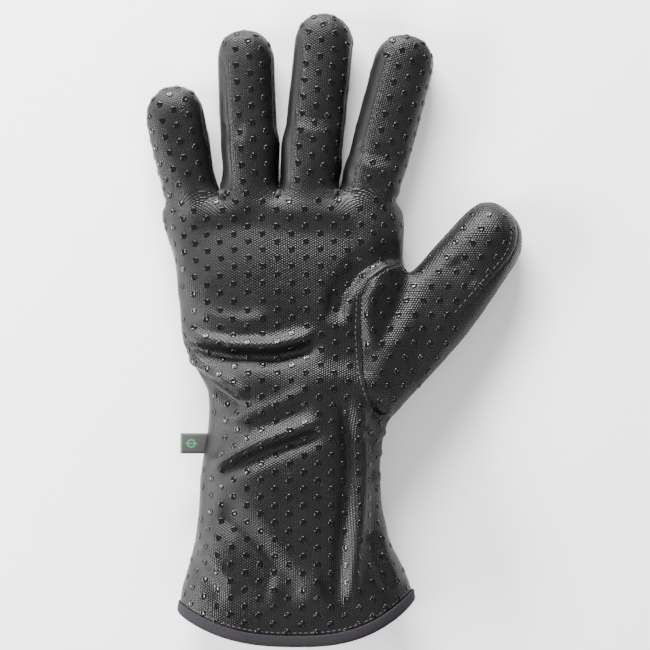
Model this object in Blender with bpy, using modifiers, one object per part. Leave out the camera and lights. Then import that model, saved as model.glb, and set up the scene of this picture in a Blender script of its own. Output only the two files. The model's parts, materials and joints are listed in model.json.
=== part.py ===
"""Heat resistant gauntlet glove, right hand, lying palm up on its back.

Blender 4.5, metres, +Z up. +Y runs from the cuff to the fingertips and +X is the
thumb side. The origin is at the centre of the palm, on the surface that the glove rests on.

The outer shell is cut from coated cloth as a palm side, a back and narrow side strips
(fourchettes) between the fingers, around a soft lining. A rigid model of a soft glove has
to part each panel where it flexes, so every digit has a base piece and a tip piece, with a
wedge left out on the palm side of each flex line for the cloth that bunches up there.
"""

import math

import bmesh
import bpy
from mathutils import Matrix, Vector

# Cloth
SHELL = 0.0012  # coated outer cloth
LINING = 0.0020  # quilted lining
LINING_GAP = 0.0012  # between the outer cloth and the lining
SEAM_GAP = 0.0007  # between two pieces that are sewn edge to edge
SETTLE = 0.0012  # how far the back is pressed flat by the surface it lies on

# Places along the glove, on Y
KNUCKLE_LINE = 0.0570  # the fingers flex here, just past the crotches
WRIST_LINE = -0.0620  # the cuff flexes here
CUFF_LENGTH = 0.1164  # from the wrist's flex line to the hem at its middle
HEM_RISE = 0.0185  # how far the hem curves up from its middle to its sides
HEM_TILT = 0.0030  # and how much further on the thumb side

# Fingers, from the little one to the index
FINGER_DEPTH = 0.0230
FINGER_GAP = 0.0008  # between neighbours at the knuckle line
LITTLE_EDGE = -0.0679  # the little finger's outer side at the knuckle line
ROOT_NARROWING = 0.0015  # how much narrower a finger is at the knuckle line
ROOT_TAPER = 0.0300  # the length over which it reaches its full width
FINGERS = (
    # name, width, length, middle joint from the knuckle, lean in degrees, left strip, right strip
    ("little", 0.0312, 0.0565, 0.0245, -10.0, False, True),
    ("ring", 0.0308, 0.0856, 0.0350, -1.8, True, True),
    ("middle", 0.0322, 0.0950, 0.0380, 6.1, True, True),
    ("index", 0.0330, 0.0850, 0.0330, 14.8, True, False),
)
FINGER_TIP_ROUND = 0.0150  # length of the domed end

# Thumb
THUMB_WIDTH = 0.0395
THUMB_DEPTH = 0.0260
THUMB_LENGTH = 0.0627  # from its flex line to its tip
THUMB_MIDDLE = 0.0265  # its second flex line from the first
THUMB_LEAN = 41.5  # degrees from +Y towards +X
THUMB_ROOT = (0.0767, 0.0004)  # where the thumb's centre line meets its first flex line
THUMB_TIP_ROUND = 0.0230

# Flex ranges, in degrees
KNUCKLE_FLEX = 60.0
FINGER_MIDDLE_FLEX = 75.0
THUMB_ROOT_FLEX = 45.0
THUMB_MIDDLE_FLEX = 60.0
WRIST_FLEX = 40.0
FLEX_SLIT = 0.0008  # gap on the back side of a flex line

# Side seams of a finger, as angles round its section: 0 is +X, 90 the palm side
LEFT_STRIP = (125.0, 200.0)
RIGHT_STRIP = (-38.0, 22.0)
STRIP_TAPER = 0.0120  # the strips narrow to a point over this length before the tip

# Outline of the palm and cuff: the edges are X on the little-finger side and on the thumb side
HEM_EDGES = (-0.0578, 0.0653)
HEM_DEPTH = 0.0400
CUFF_EDGES = (-0.0484, 0.0489)  # halfway down the cuff, above its flare
CUFF_NARROW = 0.0454  # from the wrist's flex line to there
FLARE_START = 0.0580  # from the wrist's flex line, where the cuff starts to widen
FLARE_END = 0.0896
WRIST_EDGES = (-0.0441, 0.0531)
WRIST_DEPTH = 0.0330
HEEL_EDGE = -0.0578  # the little-finger side of the palm's heel
HEEL_Y = -0.0200
HEEL_DEPTH = 0.0340
PALM_EDGES = (-0.0642, 0.0610)  # across the palm, between the thumb and the knuckles
PALM_Y = 0.0316
THUMB_WEB = (0.0592, 0.0150)  # the palm's edge just above the thumb

# Seam between the palm and the thumb panel, from the thumb's crotch to the wrist
THUMB_SEAM = (
    (0.0600, 0.0090),
    (0.0425, 0.0000),
    (0.0355, -0.0150),
    (0.0345, -0.0350),
    (0.0365, -0.0600),
)

# Hem binding and side label
BINDING_HEIGHT = 0.0062
BINDING_PROUD = 0.0005  # how far the binding stands out from the cuff's cloth
LABEL_WIDTH = 0.0106
LABEL_LENGTH = 0.0112
LABEL_Y = -0.0752
LABEL_Z = 0.0165
LABEL_CLOTH = 0.0005
LABEL_BEND = 0.0007  # inner radius of the label's fold
LABEL_GAP = 0.0009  # between the label and the cuff's side seam
LABEL_INSET = 0.0006  # its hinge, inside its own root

PATCH_STEP = math.radians(16.0)  # widest facet round a finger
WIDE_STEP = math.radians(15.0)  # widest facet round the palm and cuff
TIP_ROWS = (0.22, 0.45, 0.74, 0.93)  # rows of the domed end, as shares of its length
ROW_STEP = 0.0130  # longest facet along the glove
HEM_STEP = 0.0070  # longest facet of the hem's curve
CUTTER_REACH = 0.0800
CUTTER_HEIGHT = 0.0600

COLOURS = {
    "shell": ((0.028, 0.027, 0.029, 1.0), 0.55),
    "strip": ((0.020, 0.019, 0.021, 1.0), 0.62),
    "lining": ((0.060, 0.058, 0.060, 1.0), 0.95),
    "binding": ((0.032, 0.030, 0.036, 1.0), 0.85),
    "label": ((0.022, 0.020, 0.022, 1.0), 0.60),
}


def clear_scene():
    for thing in list(bpy.data.objects):
        bpy.data.objects.remove(thing, do_unlink=True)


def new_collection(name):
    collection = bpy.data.collections.new(name)
    bpy.context.scene.collection.children.link(collection)
    return collection


def material(kind):
    found = bpy.data.materials.get(kind)
    if found:
        return found
    colour, roughness = COLOURS[kind]
    made = bpy.data.materials.new(kind)
    made.use_nodes = True
    shader = made.node_tree.nodes["Principled BSDF"]
    shader.inputs["Base Color"].default_value = colour
    shader.inputs["Roughness"].default_value = roughness
    shader.inputs["Metallic"].default_value = 0.0
    return made


def smooth_through(stations, at):
    """A smooth value at a place, through (place, value) stations in rising order of place."""
    places = [s[0] for s in stations]
    values = [s[1] for s in stations]
    if at <= places[0]:
        return values[0]
    if at >= places[-1]:
        return values[-1]
    i = max(k for k in range(len(places) - 1) if places[k] <= at)
    width = places[i + 1] - places[i]

    def slope(k):
        if k in (0, len(places) - 1):
            return 0.0
        before = (values[k] - values[k - 1]) / (places[k] - places[k - 1])
        after = (values[k + 1] - values[k]) / (places[k + 1] - places[k])
        return 0.0 if before * after <= 0 else 2 * before * after / (before + after)

    t = (at - places[i]) / width
    return (
        (2 * t**3 - 3 * t**2 + 1) * values[i]
        + (t**3 - 2 * t**2 + t) * width * slope(i)
        + (3 * t**2 - 2 * t**3) * values[i + 1]
        + (t**3 - t**2) * width * slope(i + 1)
    )


def curved_power(value, power):
    return math.copysign(abs(value) ** power, value)


class Tube:
    """A soft tube lying on z = 0: its centre line is straight in plan, and its section is a rounded box."""

    def __init__(self, start, lean, width, depth, length=None, tip_round=0.0, narrowing=0.0, squareness=2.4):
        self.start = Vector((start[0], start[1], 0.0))
        lean = math.radians(lean)
        self.forward = Vector((math.sin(lean), math.cos(lean), 0.0))
        self.across = Vector((math.cos(lean), -math.sin(lean), 0.0))
        self.width = width
        self.depth = depth
        self.length = length
        self.tip_round = tip_round
        self.narrowing = narrowing
        self.squareness = squareness

    def sides(self, along):
        share = min(1.0, max(0.0, along / ROOT_TAPER)) if self.narrowing else 1.0
        half = (self.width - self.narrowing * (1.0 - share)) / 2
        return -half, half

    def depth_at(self, along):
        return self.depth

    def point(self, along, angle, inset=0.0):
        left, right = self.sides(along)
        depth = self.depth_at(along)
        shrink = 1.0
        if self.length is not None:
            dome = along - (self.length - self.tip_round)
            if dome > 0:
                reach = self.tip_round - inset
                share = min(1.0, dome / reach)
                shrink = (1.0 - share**2.3) ** (1 / 2.3)
                along = min(along, self.length - inset)
        middle, half_width = (left + right) / 2, (right - left) / 2
        power = 2.0 / self.squareness
        sideways = curved_power(math.cos(angle), power) * (half_width - inset) * shrink
        upwards = curved_power(math.sin(angle), power) * (depth / 2 - inset) * shrink
        centre_z = depth / 2 - SETTLE
        height = max(centre_z + upwards, inset, 0.0)
        place = self.start + self.forward * along + self.across * (middle + sideways)
        return Vector((place.x, place.y, height))


class Body(Tube):
    """The palm and cuff: one wide tube along Y whose edges and depth follow the outline."""

    def __init__(self, left, right, depths, squareness):
        super().__init__((0.0, 0.0), 0.0, 0.0, 0.0, squareness=squareness)
        self.left, self.right, self.depths = left, right, depths

    def sides(self, along):
        return smooth_through(self.left, along), smooth_through(self.right, along)

    def depth_at(self, along):
        return smooth_through(self.depths, along)


def spaced(start, end, step):
    count = max(1, math.ceil(abs(end - start) / step - 1e-9))
    return [start + (end - start) * i / count for i in range(count + 1)]


def sheet_object(name, rows, closed, pole=None):
    """An open grid of points as a mesh object, its faces pointing out, with a pole past the last row."""
    cloth = bmesh.new()
    grid = [[cloth.verts.new(p) for p in row] for row in rows]
    columns = len(rows[0])
    spans = columns if closed else columns - 1
    for lower, upper in zip(grid, grid[1:]):
        for i in range(spans):
            j = (i + 1) % columns
            cloth.faces.new((lower[i], upper[i], upper[j], lower[j]))
    if pole is not None:
        top = cloth.verts.new(pole)
        for i in range(spans):
            cloth.faces.new((grid[-1][i], top, grid[-1][(i + 1) % columns]))
    mesh = bpy.data.meshes.new(name)
    cloth.to_mesh(mesh)
    cloth.free()
    mesh.shade_smooth()
    return bpy.data.objects.new(name, mesh)


def finish(thing, kind, collection, thickness, cutters=(), keep=()):
    """Gives a sheet its thickness on the inside, then trims it with the cutters."""
    solid = thing.modifiers.new("thickness", "SOLIDIFY")
    solid.thickness = thickness
    solid.offset = -1.0
    solid.use_even_offset = True
    for operation, others in (("DIFFERENCE", cutters), ("INTERSECT", keep)):
        for other in others:
            trim = thing.modifiers.new(other.name, "BOOLEAN")
            trim.operation = operation
            trim.object = other
            trim.solver = "EXACT"
    thing.data.materials.append(material(kind))
    collection.objects.link(thing)
    return thing


def panel(name, tube, seams, rows, cutters, collection, kind="shell", pole=False, keep=(), step=PATCH_STEP):
    """A piece of outer cloth between two seams, given as functions of the place along the tube."""
    columns = max(len(spaced(seams[0](a), seams[1](a), step)) for a in rows)

    def line(along, share):
        first, last = seams[0](along), seams[1](along)
        half_gap = SEAM_GAP / 2 / (tube.depth_at(along) / 2)
        first, last = first + half_gap, last - half_gap
        return tube.point(along, first + (last - first) * share)

    grid = [[line(a, i / (columns - 1)) for i in range(columns)] for a in rows]
    top = None
    if pole:
        side = 1 if seams[1](rows[-1]) <= math.pi + 1e-6 else -1
        top = tube.point(tube.length, 0.0) + Vector((0.0, 0.0, side * SEAM_GAP / 2))
    return finish(sheet_object(name, grid, False, top), kind, collection, SHELL, cutters, keep)


def lining(name, tube, rows, cutters, collection, pole=False, step=math.radians(24.0)):
    """The lining inside a tube, all the way round."""
    inset = SHELL + LINING_GAP
    turns = round(2 * math.pi / step)
    grid = [[tube.point(a, 2 * math.pi * i / turns, inset) for i in range(turns)] for a in rows]
    top = tube.point(tube.length, 0.0, inset) if pole else None
    return finish(sheet_object(name, grid, True, top), "lining", collection, LINING, cutters)


def prism(name, profile, collection):
    """A closed prism from two matching rings of points."""
    block = bmesh.new()
    first, second = ([block.verts.new(p) for p in ring] for ring in profile)
    block.faces.new(first)
    block.faces.new(list(reversed(second)))
    for i in range(len(first)):
        j = (i + 1) % len(first)
        block.faces.new((first[j], first[i], second[i], second[j]))
    bmesh.ops.recalc_face_normals(block, faces=block.faces)
    mesh = bpy.data.meshes.new(name)
    block.to_mesh(mesh)
    block.free()
    cutter = bpy.data.objects.new(name, mesh)
    cutter.hide_render = True
    cutter.display_type = "WIRE"
    collection.objects.link(cutter)
    return cutter


def flex_cutters(name, hinge, forward, opening, half_span, collection):
    """(for the piece behind the hinge, for the piece past it).

    Each removes the other side and half the wedge.
    """
    across = Vector((forward.y, -forward.x, 0.0))
    lean = math.tan(math.radians(opening) / 2)
    slit = FLEX_SLIT / 2
    profile = (
        (slit, -CUTTER_HEIGHT),
        (slit, 0.0),
        (slit + CUTTER_HEIGHT * lean, CUTTER_HEIGHT),
        (-CUTTER_REACH, CUTTER_HEIGHT),
        (-CUTTER_REACH, -CUTTER_HEIGHT),
    )
    made = []
    for side, label in ((-1, "behind"), (1, "past")):
        rings = [
            [hinge + forward * (f * side) + Vector((0, 0, z)) + across * reach for f, z in profile]
            for reach in (-half_span, half_span)
        ]
        made.append(prism(f"cut_{name}_{label}", rings, collection))
    return made


def outline_prism(name, outline, collection):
    """A tall prism on a plan outline."""
    rings = [[Vector((x, y, z)) for x, y in outline] for z in (-CUTTER_HEIGHT, CUTTER_HEIGHT)]
    return prism(name, rings, collection)


def always(degrees):
    angle = math.radians(degrees)
    return lambda along: angle


def finger_frames():
    """Each finger's tube, with its start on the knuckle line, from the little finger to the index."""
    edge = LITTLE_EDGE
    frames = {}
    for name, width, length, middle, lean, left_strip, right_strip in FINGERS:
        slanted = (width - ROOT_NARROWING) / math.cos(math.radians(lean))
        start = (edge + slanted / 2, KNUCKLE_LINE)
        tube = Tube(start, lean, width, FINGER_DEPTH, length, FINGER_TIP_ROUND, ROOT_NARROWING)
        frames[name] = (tube, middle, left_strip, right_strip)
        edge += slanted + FINGER_GAP
    return frames, edge - FINGER_GAP


def digit_rows(tube, middle, overlap, inset=0.0):
    """(rows of the base piece, rows of the tip piece) along a digit."""
    dome = tube.length - tube.tip_round
    round_rows = [dome + (tube.tip_round - inset) * share for share in TIP_ROWS]
    base = spaced(-overlap, middle + overlap, ROW_STEP)
    straight = spaced(middle - overlap, dome, ROW_STEP)
    return base, straight + round_rows


def strip_seam(tube, angle, side_angle):
    """A strip's edge: it runs at its own angle, then closes on the digit's side before the tip."""
    taper_end = tube.length - tube.tip_round * 0.55
    taper_start = taper_end - STRIP_TAPER

    def at(along):
        share = min(1.0, max(0.0, (along - taper_start) / (taper_end - taper_start)))
        return math.radians(angle + (side_angle - angle) * share * share)

    return at


def one_turn_on(seam):
    return lambda along: 2 * math.pi + seam(along)


def digit(name, tube, middle, left_strip, right_strip, root_cut, middle_cuts, pieces):
    """The outer panels, side strips and lining of one finger or of the thumb."""
    overlap = tube.depth / 2 + FLEX_SLIT
    base_rows, tip_rows = digit_rows(tube, middle, overlap)
    inner = digit_rows(tube, middle, overlap, SHELL + LINING_GAP)
    strip_end = tube.length - tube.tip_round * 0.55 - STRIP_TAPER * 0.25
    front = (always(0.0), always(180.0))
    back = (always(180.0), always(360.0))
    strips = {}
    if right_strip:
        lower, upper = (strip_seam(tube, a, 0.0) for a in RIGHT_STRIP)
        strips["right"] = (lower, upper)
        front = (upper, front[1])
        back = (back[0], one_turn_on(lower))
    if left_strip:
        upper, lower = (strip_seam(tube, a, 180.0) for a in LEFT_STRIP)
        strips["left"] = (upper, lower)
        front = (front[0], upper)
        back = (lower, back[1])
    ends = (
        ("base", base_rows, (root_cut, middle_cuts[0]), False),
        ("tip", tip_rows, (middle_cuts[1],), True),
    )
    for end, rows, cutters, pole in ends:
        panel(f"{name}_palm_side_{end}", tube, front, rows, cutters, pieces, pole=pole)
        panel(f"{name}_back_{end}", tube, back, rows, cutters, pieces, pole=pole)
        strip_rows = [a for a in rows if a < strip_end]
        strip_rows += [strip_end] if end == "tip" else []
        for side, seams in strips.items():
            panel(f"{name}_{side}_fourchette_{end}", tube, seams, strip_rows, cutters, pieces, "strip")
        inner_rows = inner[0] if end == "base" else inner[1]
        lining(f"{name}_lining_{end}", tube, inner_rows, cutters, pieces, pole)


def hem_y(x, left, right):
    """The hem's place along Y: lowest near its middle and curving up to the sides."""
    middle, half = (left + right) / 2, (right - left) / 2
    share = max(-1.0, min(1.0, (x - middle) / half))
    return WRIST_LINE - CUFF_LENGTH + HEM_RISE * abs(share) ** 2.6 + HEM_TILT * share**3


def palm_and_cuff(index_edge):
    """The wide tube from the hem to the knuckle line."""
    hem = WRIST_LINE - CUFF_LENGTH
    lean = math.radians(THUMB_LEAN)
    # the thumb's outer corner, a little past its flex line so that the cutter trims it
    half, past = THUMB_WIDTH / 2, FLEX_SLIT * 4
    corner_x = THUMB_ROOT[0] + math.cos(lean) * half + math.sin(lean) * past
    corner_y = THUMB_ROOT[1] - math.sin(lean) * half + math.cos(lean) * past
    inner_x = THUMB_ROOT[0] - math.cos(lean) * half + math.sin(lean) * past
    inner_y = THUMB_ROOT[1] + math.sin(lean) * half + math.cos(lean) * past
    left = (
        (hem, HEM_EDGES[0]),
        (WRIST_LINE - FLARE_END, HEM_EDGES[0]),
        (WRIST_LINE - FLARE_START, CUFF_EDGES[0] - 0.0012),
        (WRIST_LINE - CUFF_NARROW, CUFF_EDGES[0]),
        (WRIST_LINE, WRIST_EDGES[0]),
        (HEEL_Y - 0.0116, HEEL_EDGE + 0.0046),
        (HEEL_Y, HEEL_EDGE),
        (PALM_Y, PALM_EDGES[0]),
        (KNUCKLE_LINE, LITTLE_EDGE),
        (KNUCKLE_LINE + FINGER_DEPTH, LITTLE_EDGE),
    )
    right = (
        (hem, HEM_EDGES[1]),
        (WRIST_LINE - FLARE_END, HEM_EDGES[1]),
        (WRIST_LINE - FLARE_START, CUFF_EDGES[1] + 0.0016),
        (WRIST_LINE - CUFF_NARROW, CUFF_EDGES[1]),
        (WRIST_LINE, WRIST_EDGES[1]),
        (corner_y, corner_x),
        (inner_y, inner_x),
        (THUMB_WEB[1] + 0.0040, THUMB_WEB[0]),
        (PALM_Y, PALM_EDGES[1]),
        (KNUCKLE_LINE, index_edge),
        (KNUCKLE_LINE + FINGER_DEPTH, index_edge),
    )
    depths = (
        (hem, HEM_DEPTH),
        (WRIST_LINE, WRIST_DEPTH),
        (HEEL_Y, HEEL_DEPTH),
        (KNUCKLE_LINE - 0.0050, FINGER_DEPTH),
        (KNUCKLE_LINE + FINGER_DEPTH, FINGER_DEPTH),
    )
    return Body(left, right, depths, squareness=2.9)


def hand_pieces(body, knuckle_cuts, thumb_cuts, wrist_cuts, pieces, helpers):
    """The palm, the thumb panel's lower part, the back and the lining between wrist and knuckles."""
    rows = spaced(WRIST_LINE - WRIST_DEPTH / 2, KNUCKLE_LINE + FINGER_DEPTH / 2, ROW_STEP * 0.8)
    # the wrist's cutters are named from the palm outwards, so "behind" is the palm's side
    cutters = (knuckle_cuts[0], thumb_cuts[0], wrist_cuts[0])
    front, back = (always(0.0), always(180.0)), (always(180.0), always(360.0))
    reach = THUMB_ROOT[0] + THUMB_WIDTH * 2
    seam = [Vector(p) for p in THUMB_SEAM]
    gap = Vector((SEAM_GAP / 2, 0.0))
    low_end = Vector((reach, WRIST_LINE - WRIST_DEPTH))
    low_start = Vector((seam[-1].x, WRIST_LINE - WRIST_DEPTH))
    high_end = Vector((reach, seam[0].y + reach - seam[0].x))
    outer = [p + gap for p in [*seam, low_start]] + [low_end + gap, high_end + gap]
    grown = [p - gap for p in [*seam, low_start]] + [low_end, high_end]
    thumb_side = outline_prism("cut_thumb_side", [(p.x, p.y) for p in outer], helpers)
    palm_side = outline_prism("cut_palm_side", [(p.x, p.y) for p in grown], helpers)
    panel("palm_panel", body, front, rows, (*cutters, palm_side), pieces, step=WIDE_STEP)
    panel("thumb_palm_side_root", body, front, rows, cutters, pieces, keep=(thumb_side,), step=WIDE_STEP)
    panel("back_panel", body, back, rows, cutters, pieces, step=WIDE_STEP)
    lining("palm_lining", body, rows, cutters, pieces, step=WIDE_STEP)


def cuff_pieces(body, wrist_cuts, pieces, helpers):
    """The cuff's two panels, its lining and the binding round its hem."""
    hem = WRIST_LINE - CUFF_LENGTH
    top = WRIST_LINE + WRIST_DEPTH / 2
    left, right = HEM_EDGES
    rows = spaced(hem - BINDING_HEIGHT, top, ROW_STEP)
    widths = spaced(left - 0.0200, right + 0.0200, HEM_STEP)
    hem_line = [(x, hem_y(x, left, right)) for x in widths]

    def all_past(name, rise, towards):
        """Everything past the hem's curve, raised by some height, towards the fingers or away from them."""
        far = hem + towards * CUTTER_REACH
        curve = [(x, y + rise) for x, y in hem_line]
        return outline_prism(name, [*curve, (widths[-1], far), (widths[0], far)], helpers)

    below_cuff = all_past("cut_below_cuff", BINDING_HEIGHT + SEAM_GAP, -1)
    above_binding = all_past("cut_above_binding", BINDING_HEIGHT, 1)
    below_binding = all_past("cut_below_binding", 0.0, -1)
    cutters = (wrist_cuts[1], below_cuff)
    front, back = (always(0.0), always(180.0)), (always(180.0), always(360.0))
    panel("cuff_palm_side", body, front, rows, cutters, pieces, step=WIDE_STEP)
    panel("cuff_back", body, back, rows, cutters, pieces, step=WIDE_STEP)
    lining("cuff_lining", body, rows, cutters, pieces, step=WIDE_STEP)

    band_rows = spaced(hem - BINDING_HEIGHT, hem + HEM_RISE + BINDING_HEIGHT * 2, BINDING_HEIGHT)
    turns = round(2 * math.pi / WIDE_STEP) * 2
    angles = [2 * math.pi * i / turns for i in range(turns)]
    rings = [[body.point(a, angle, -BINDING_PROUD) for angle in angles] for a in band_rows]
    band = sheet_object("hem_binding", rings, True)
    thickness = BINDING_PROUD + SHELL + LINING_GAP + LINING
    finish(band, "binding", pieces, thickness, (above_binding, below_binding))


def side_label(body, pieces):
    """A folded ribbon sewn into the cuff's side seam: two layers, one above the other, and a rounded fold."""
    ends = (LABEL_Y - LABEL_WIDTH / 2, LABEL_Y + LABEL_WIDTH / 2)
    root = min(body.point(y, math.pi).x for y in ends) - LABEL_GAP
    fold_centre = root - LABEL_LENGTH + LABEL_BEND + LABEL_CLOTH
    outer = LABEL_BEND + LABEL_CLOTH
    turn = [math.pi / 2 + math.pi * i / 6 for i in range(7)]
    path = [(root, LABEL_Z + outer)]
    path += [(fold_centre + outer * math.cos(a), LABEL_Z + outer * math.sin(a)) for a in turn]
    path += [(root, LABEL_Z - outer)]
    rows = [[Vector((x, y, z)) for x, z in path] for y in ends]
    ribbon = sheet_object("side_label", rows, False)
    finish(ribbon, "label", pieces, LABEL_CLOTH)
    ribbon_origin = Vector((root - LABEL_INSET, LABEL_Y, LABEL_Z))
    ribbon.data.transform(Matrix.Translation(-ribbon_origin))
    ribbon.location = ribbon_origin


def main():
    clear_scene()
    pieces = new_collection("heat_resistant_glove")
    helpers = new_collection("cutters")
    frames, index_edge = finger_frames()
    body = palm_and_cuff(index_edge)

    finger_height = FINGER_DEPTH / 2 - SETTLE
    middle_of_knuckles = Vector(((LITTLE_EDGE + index_edge) / 2, KNUCKLE_LINE, finger_height))
    half_span = (index_edge - LITTLE_EDGE) / 2 + 0.0200
    forward = Vector((0.0, 1.0, 0.0))
    knuckle_cuts = flex_cutters("knuckles", middle_of_knuckles, forward, KNUCKLE_FLEX, half_span, helpers)
    for name, (tube, middle, left_strip, right_strip) in frames.items():
        hinge = tube.start + tube.forward * middle + Vector((0.0, 0.0, finger_height))
        cuts = flex_cutters(f"{name}_middle", hinge, tube.forward, FINGER_MIDDLE_FLEX, tube.width, helpers)
        digit(name, tube, middle, left_strip, right_strip, knuckle_cuts[1], cuts, pieces)

    thumb = Tube(THUMB_ROOT, THUMB_LEAN, THUMB_WIDTH, THUMB_DEPTH, THUMB_LENGTH, THUMB_TIP_ROUND)
    thumb_height = Vector((0.0, 0.0, THUMB_DEPTH / 2 - SETTLE))
    root_span = THUMB_WIDTH / 2 + 0.0020
    hinge = thumb.start + thumb_height
    root_cuts = flex_cutters("thumb_root", hinge, thumb.forward, THUMB_ROOT_FLEX, root_span, helpers)
    hinge = thumb.start + thumb.forward * THUMB_MIDDLE + thumb_height
    middle_cuts = flex_cutters("thumb_middle", hinge, thumb.forward, THUMB_MIDDLE_FLEX, THUMB_WIDTH, helpers)
    digit("thumb", thumb, THUMB_MIDDLE, False, False, root_cuts[1], middle_cuts, pieces)

    wrist = Vector((0.0, WRIST_LINE, WRIST_DEPTH / 2 - SETTLE))
    wrist_cuts = flex_cutters("wrist", wrist, Vector((0.0, -1.0, 0.0)), WRIST_FLEX, 0.1200, helpers)
    hand_pieces(body, knuckle_cuts, root_cuts, wrist_cuts, pieces, helpers)
    cuff_pieces(body, wrist_cuts, pieces, helpers)
    side_label(body, pieces)


main()
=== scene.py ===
# %% [markdown]
# # A heat resistant glove
# A right-hand barbecue glove lies on its back, palm up. Its shell is coated cloth with a
# raised hexagonal weave and cured grip dots, sewn round a soft lining. We keep the solid
# model as a fixed frame, and dress it: one skin is lofted, fused, inflated as cloth and
# creased, then cut into the same panels that a glove maker would sew.

# %% Load the frame
import json
import math

import bmesh
import bpy
import numpy as np
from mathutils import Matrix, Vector
from mathutils.bvhtree import BVHTree


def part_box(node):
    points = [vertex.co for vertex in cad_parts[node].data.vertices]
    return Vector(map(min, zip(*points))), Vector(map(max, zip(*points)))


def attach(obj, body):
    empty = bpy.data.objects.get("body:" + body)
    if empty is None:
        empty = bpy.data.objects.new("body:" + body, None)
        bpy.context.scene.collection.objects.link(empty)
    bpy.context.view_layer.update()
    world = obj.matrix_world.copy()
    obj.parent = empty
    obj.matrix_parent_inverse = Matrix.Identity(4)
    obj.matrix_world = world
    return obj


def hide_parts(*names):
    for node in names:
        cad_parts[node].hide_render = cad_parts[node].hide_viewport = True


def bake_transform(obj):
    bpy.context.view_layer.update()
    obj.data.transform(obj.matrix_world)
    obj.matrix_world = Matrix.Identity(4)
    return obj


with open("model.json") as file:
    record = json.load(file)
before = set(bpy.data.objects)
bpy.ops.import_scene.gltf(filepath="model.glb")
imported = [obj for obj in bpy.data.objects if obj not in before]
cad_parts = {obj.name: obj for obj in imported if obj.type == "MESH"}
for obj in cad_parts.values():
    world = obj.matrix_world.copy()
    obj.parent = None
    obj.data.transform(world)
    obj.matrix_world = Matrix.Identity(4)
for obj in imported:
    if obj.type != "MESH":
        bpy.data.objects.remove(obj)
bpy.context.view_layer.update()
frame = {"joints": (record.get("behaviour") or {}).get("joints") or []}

# %% [markdown]
# ## Where the glove bends
# Every digit has two hinges in the frame: one at its root and one at its middle. They give
# the digit's centre line and its lean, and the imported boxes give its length, so the cloth
# can't drift away from the solids that it covers.

# %% Hinges and digits
MM = 0.001
hinge = {joint["name"]: joint for joint in frame["joints"]}


def hinge_place(name):
    return np.array(hinge[name]["pos_m"], float)


KNUCKLE_Y = hinge_place("middle_knuckle_flex")[1]
WRIST_Y = hinge_place("wrist_flex")[1]
HEM_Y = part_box("hem_binding")[0][1]

# name: (root hinge, moved across, shorter by, width, narrower at the root by, end's length, height,
# left and right roundness)
DIGIT_SHAPES = {
    "little": ("little_knuckle_flex", 0.0, -0.5, 31.0, 2.0, 17.0, 21.5, 1.95, 2.2),
    "ring": ("ring_knuckle_flex", 1.4, 0.2, 30.4, 1.6, 15.0, 21.5, 2.1, 2.1),
    "middle": ("middle_knuckle_flex", 1.2, 0.8, 31.6, 1.6, 15.5, 21.5, 2.1, 2.1),
    "index": ("index_knuckle_flex", 0.9, 0.7, 32.8, 1.4, 16.0, 21.5, 2.1, 2.1),
    "thumb": ("thumb_root_flex", -0.3, 3.4, 38.6, 0.0, 22.0, 25.0, 3.4, 1.9),
}
FINGERS = ("little", "ring", "middle", "index")


class Digit:
    """A digit's own directions: along it, across it towards the thumb side, and up."""

    def __init__(self, name):
        root, moved, shorter, width, narrower, end, height, left, right = DIGIT_SHAPES[name]
        self.name = name
        forward = (hinge_place(f"{name}_middle_flex") - hinge_place(root)) * (1, 1, 0)
        self.to_middle = float(np.linalg.norm(forward))
        self.forward = forward / self.to_middle
        self.across = np.array((self.forward[1], -self.forward[0], 0.0))
        self.start = hinge_place(root) + self.across * moved * MM
        self.middle = hinge_place(f"{name}_middle_flex") + self.across * moved * MM
        self.half = width * MM / 2
        self.narrower = narrower * MM / 2
        self.height = height * MM
        self.end = end * MM
        self.left_power, self.right_power = left, right
        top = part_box(f"{name}_palm_side_tip")[1][1]
        reach = (top - self.start[1] - self.end * (1 - self.forward[1]) * 0.9) / self.forward[1]
        self.length = float(reach) - shorter * MM

    def local(self, points):
        """(along, across, up from its centre line) of points in the frame."""
        away = points - self.start
        centre = self.height / 2 - 0.0005
        return away @ self.forward, away @ self.across, points[:, 2] - centre


digits = {name: Digit(name) for name in DIGIT_SHAPES}
for digit in digits.values():
    lean = math.degrees(math.asin(digit.forward[0]))
    print(digit.name, "length", round(digit.length, 4), "lean", round(lean, 1))

# %% [markdown]
# ## One skin for the whole glove
# A glove's front and back are cut as whole panels, so the palm runs into the fingers without
# a line. We could model each finger as its own tube, but a false crease would show at every
# root. Instead we loft simple closed tubes that pass through each other, and let a voxel
# remesh fuse them into one surface, with webs between the fingers.

# %% Outline of the palm and cuff
# place along the glove, little-finger edge, thumb edge, height, in millimetres
OUTLINE = np.array((
    (-192.0, -57.4, 64.9, 38.5),
    (-163.0, -57.6, 65.0, 38.5),
    (-151.0, -57.0, 64.6, 38.0),
    (-139.0, -53.6, 59.8, 37.5),
    (-126.0, -50.2, 52.8, 37.0),
    (-107.0, -48.2, 48.9, 36.0),
    (-88.0, -47.6, 47.8, 34.5),
    (-70.0, -44.6, 49.8, 33.0),
    (-58.0, -43.4, 53.5, 32.5),
    (-47.0, -44.4, 56.0, 33.0),
    (-36.0, -50.2, 58.0, 33.5),
    (-22.0, -57.2, 59.5, 33.5),
    (0.0, -58.9, 59.0, 32.5),
    (20.0, -61.2, 58.8, 29.5),
    (38.0, -66.8, 60.4, 24.5),
    (57.0, -69.4, 58.2, 20.0),
)) * MM
HAND_SQUARENESS = 2.5  # of its section at the wrist, and how much squarer it is at the knuckles
KNUCKLE_SQUARER = 2.0
DIGIT_SQUARENESS = 2.25


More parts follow.
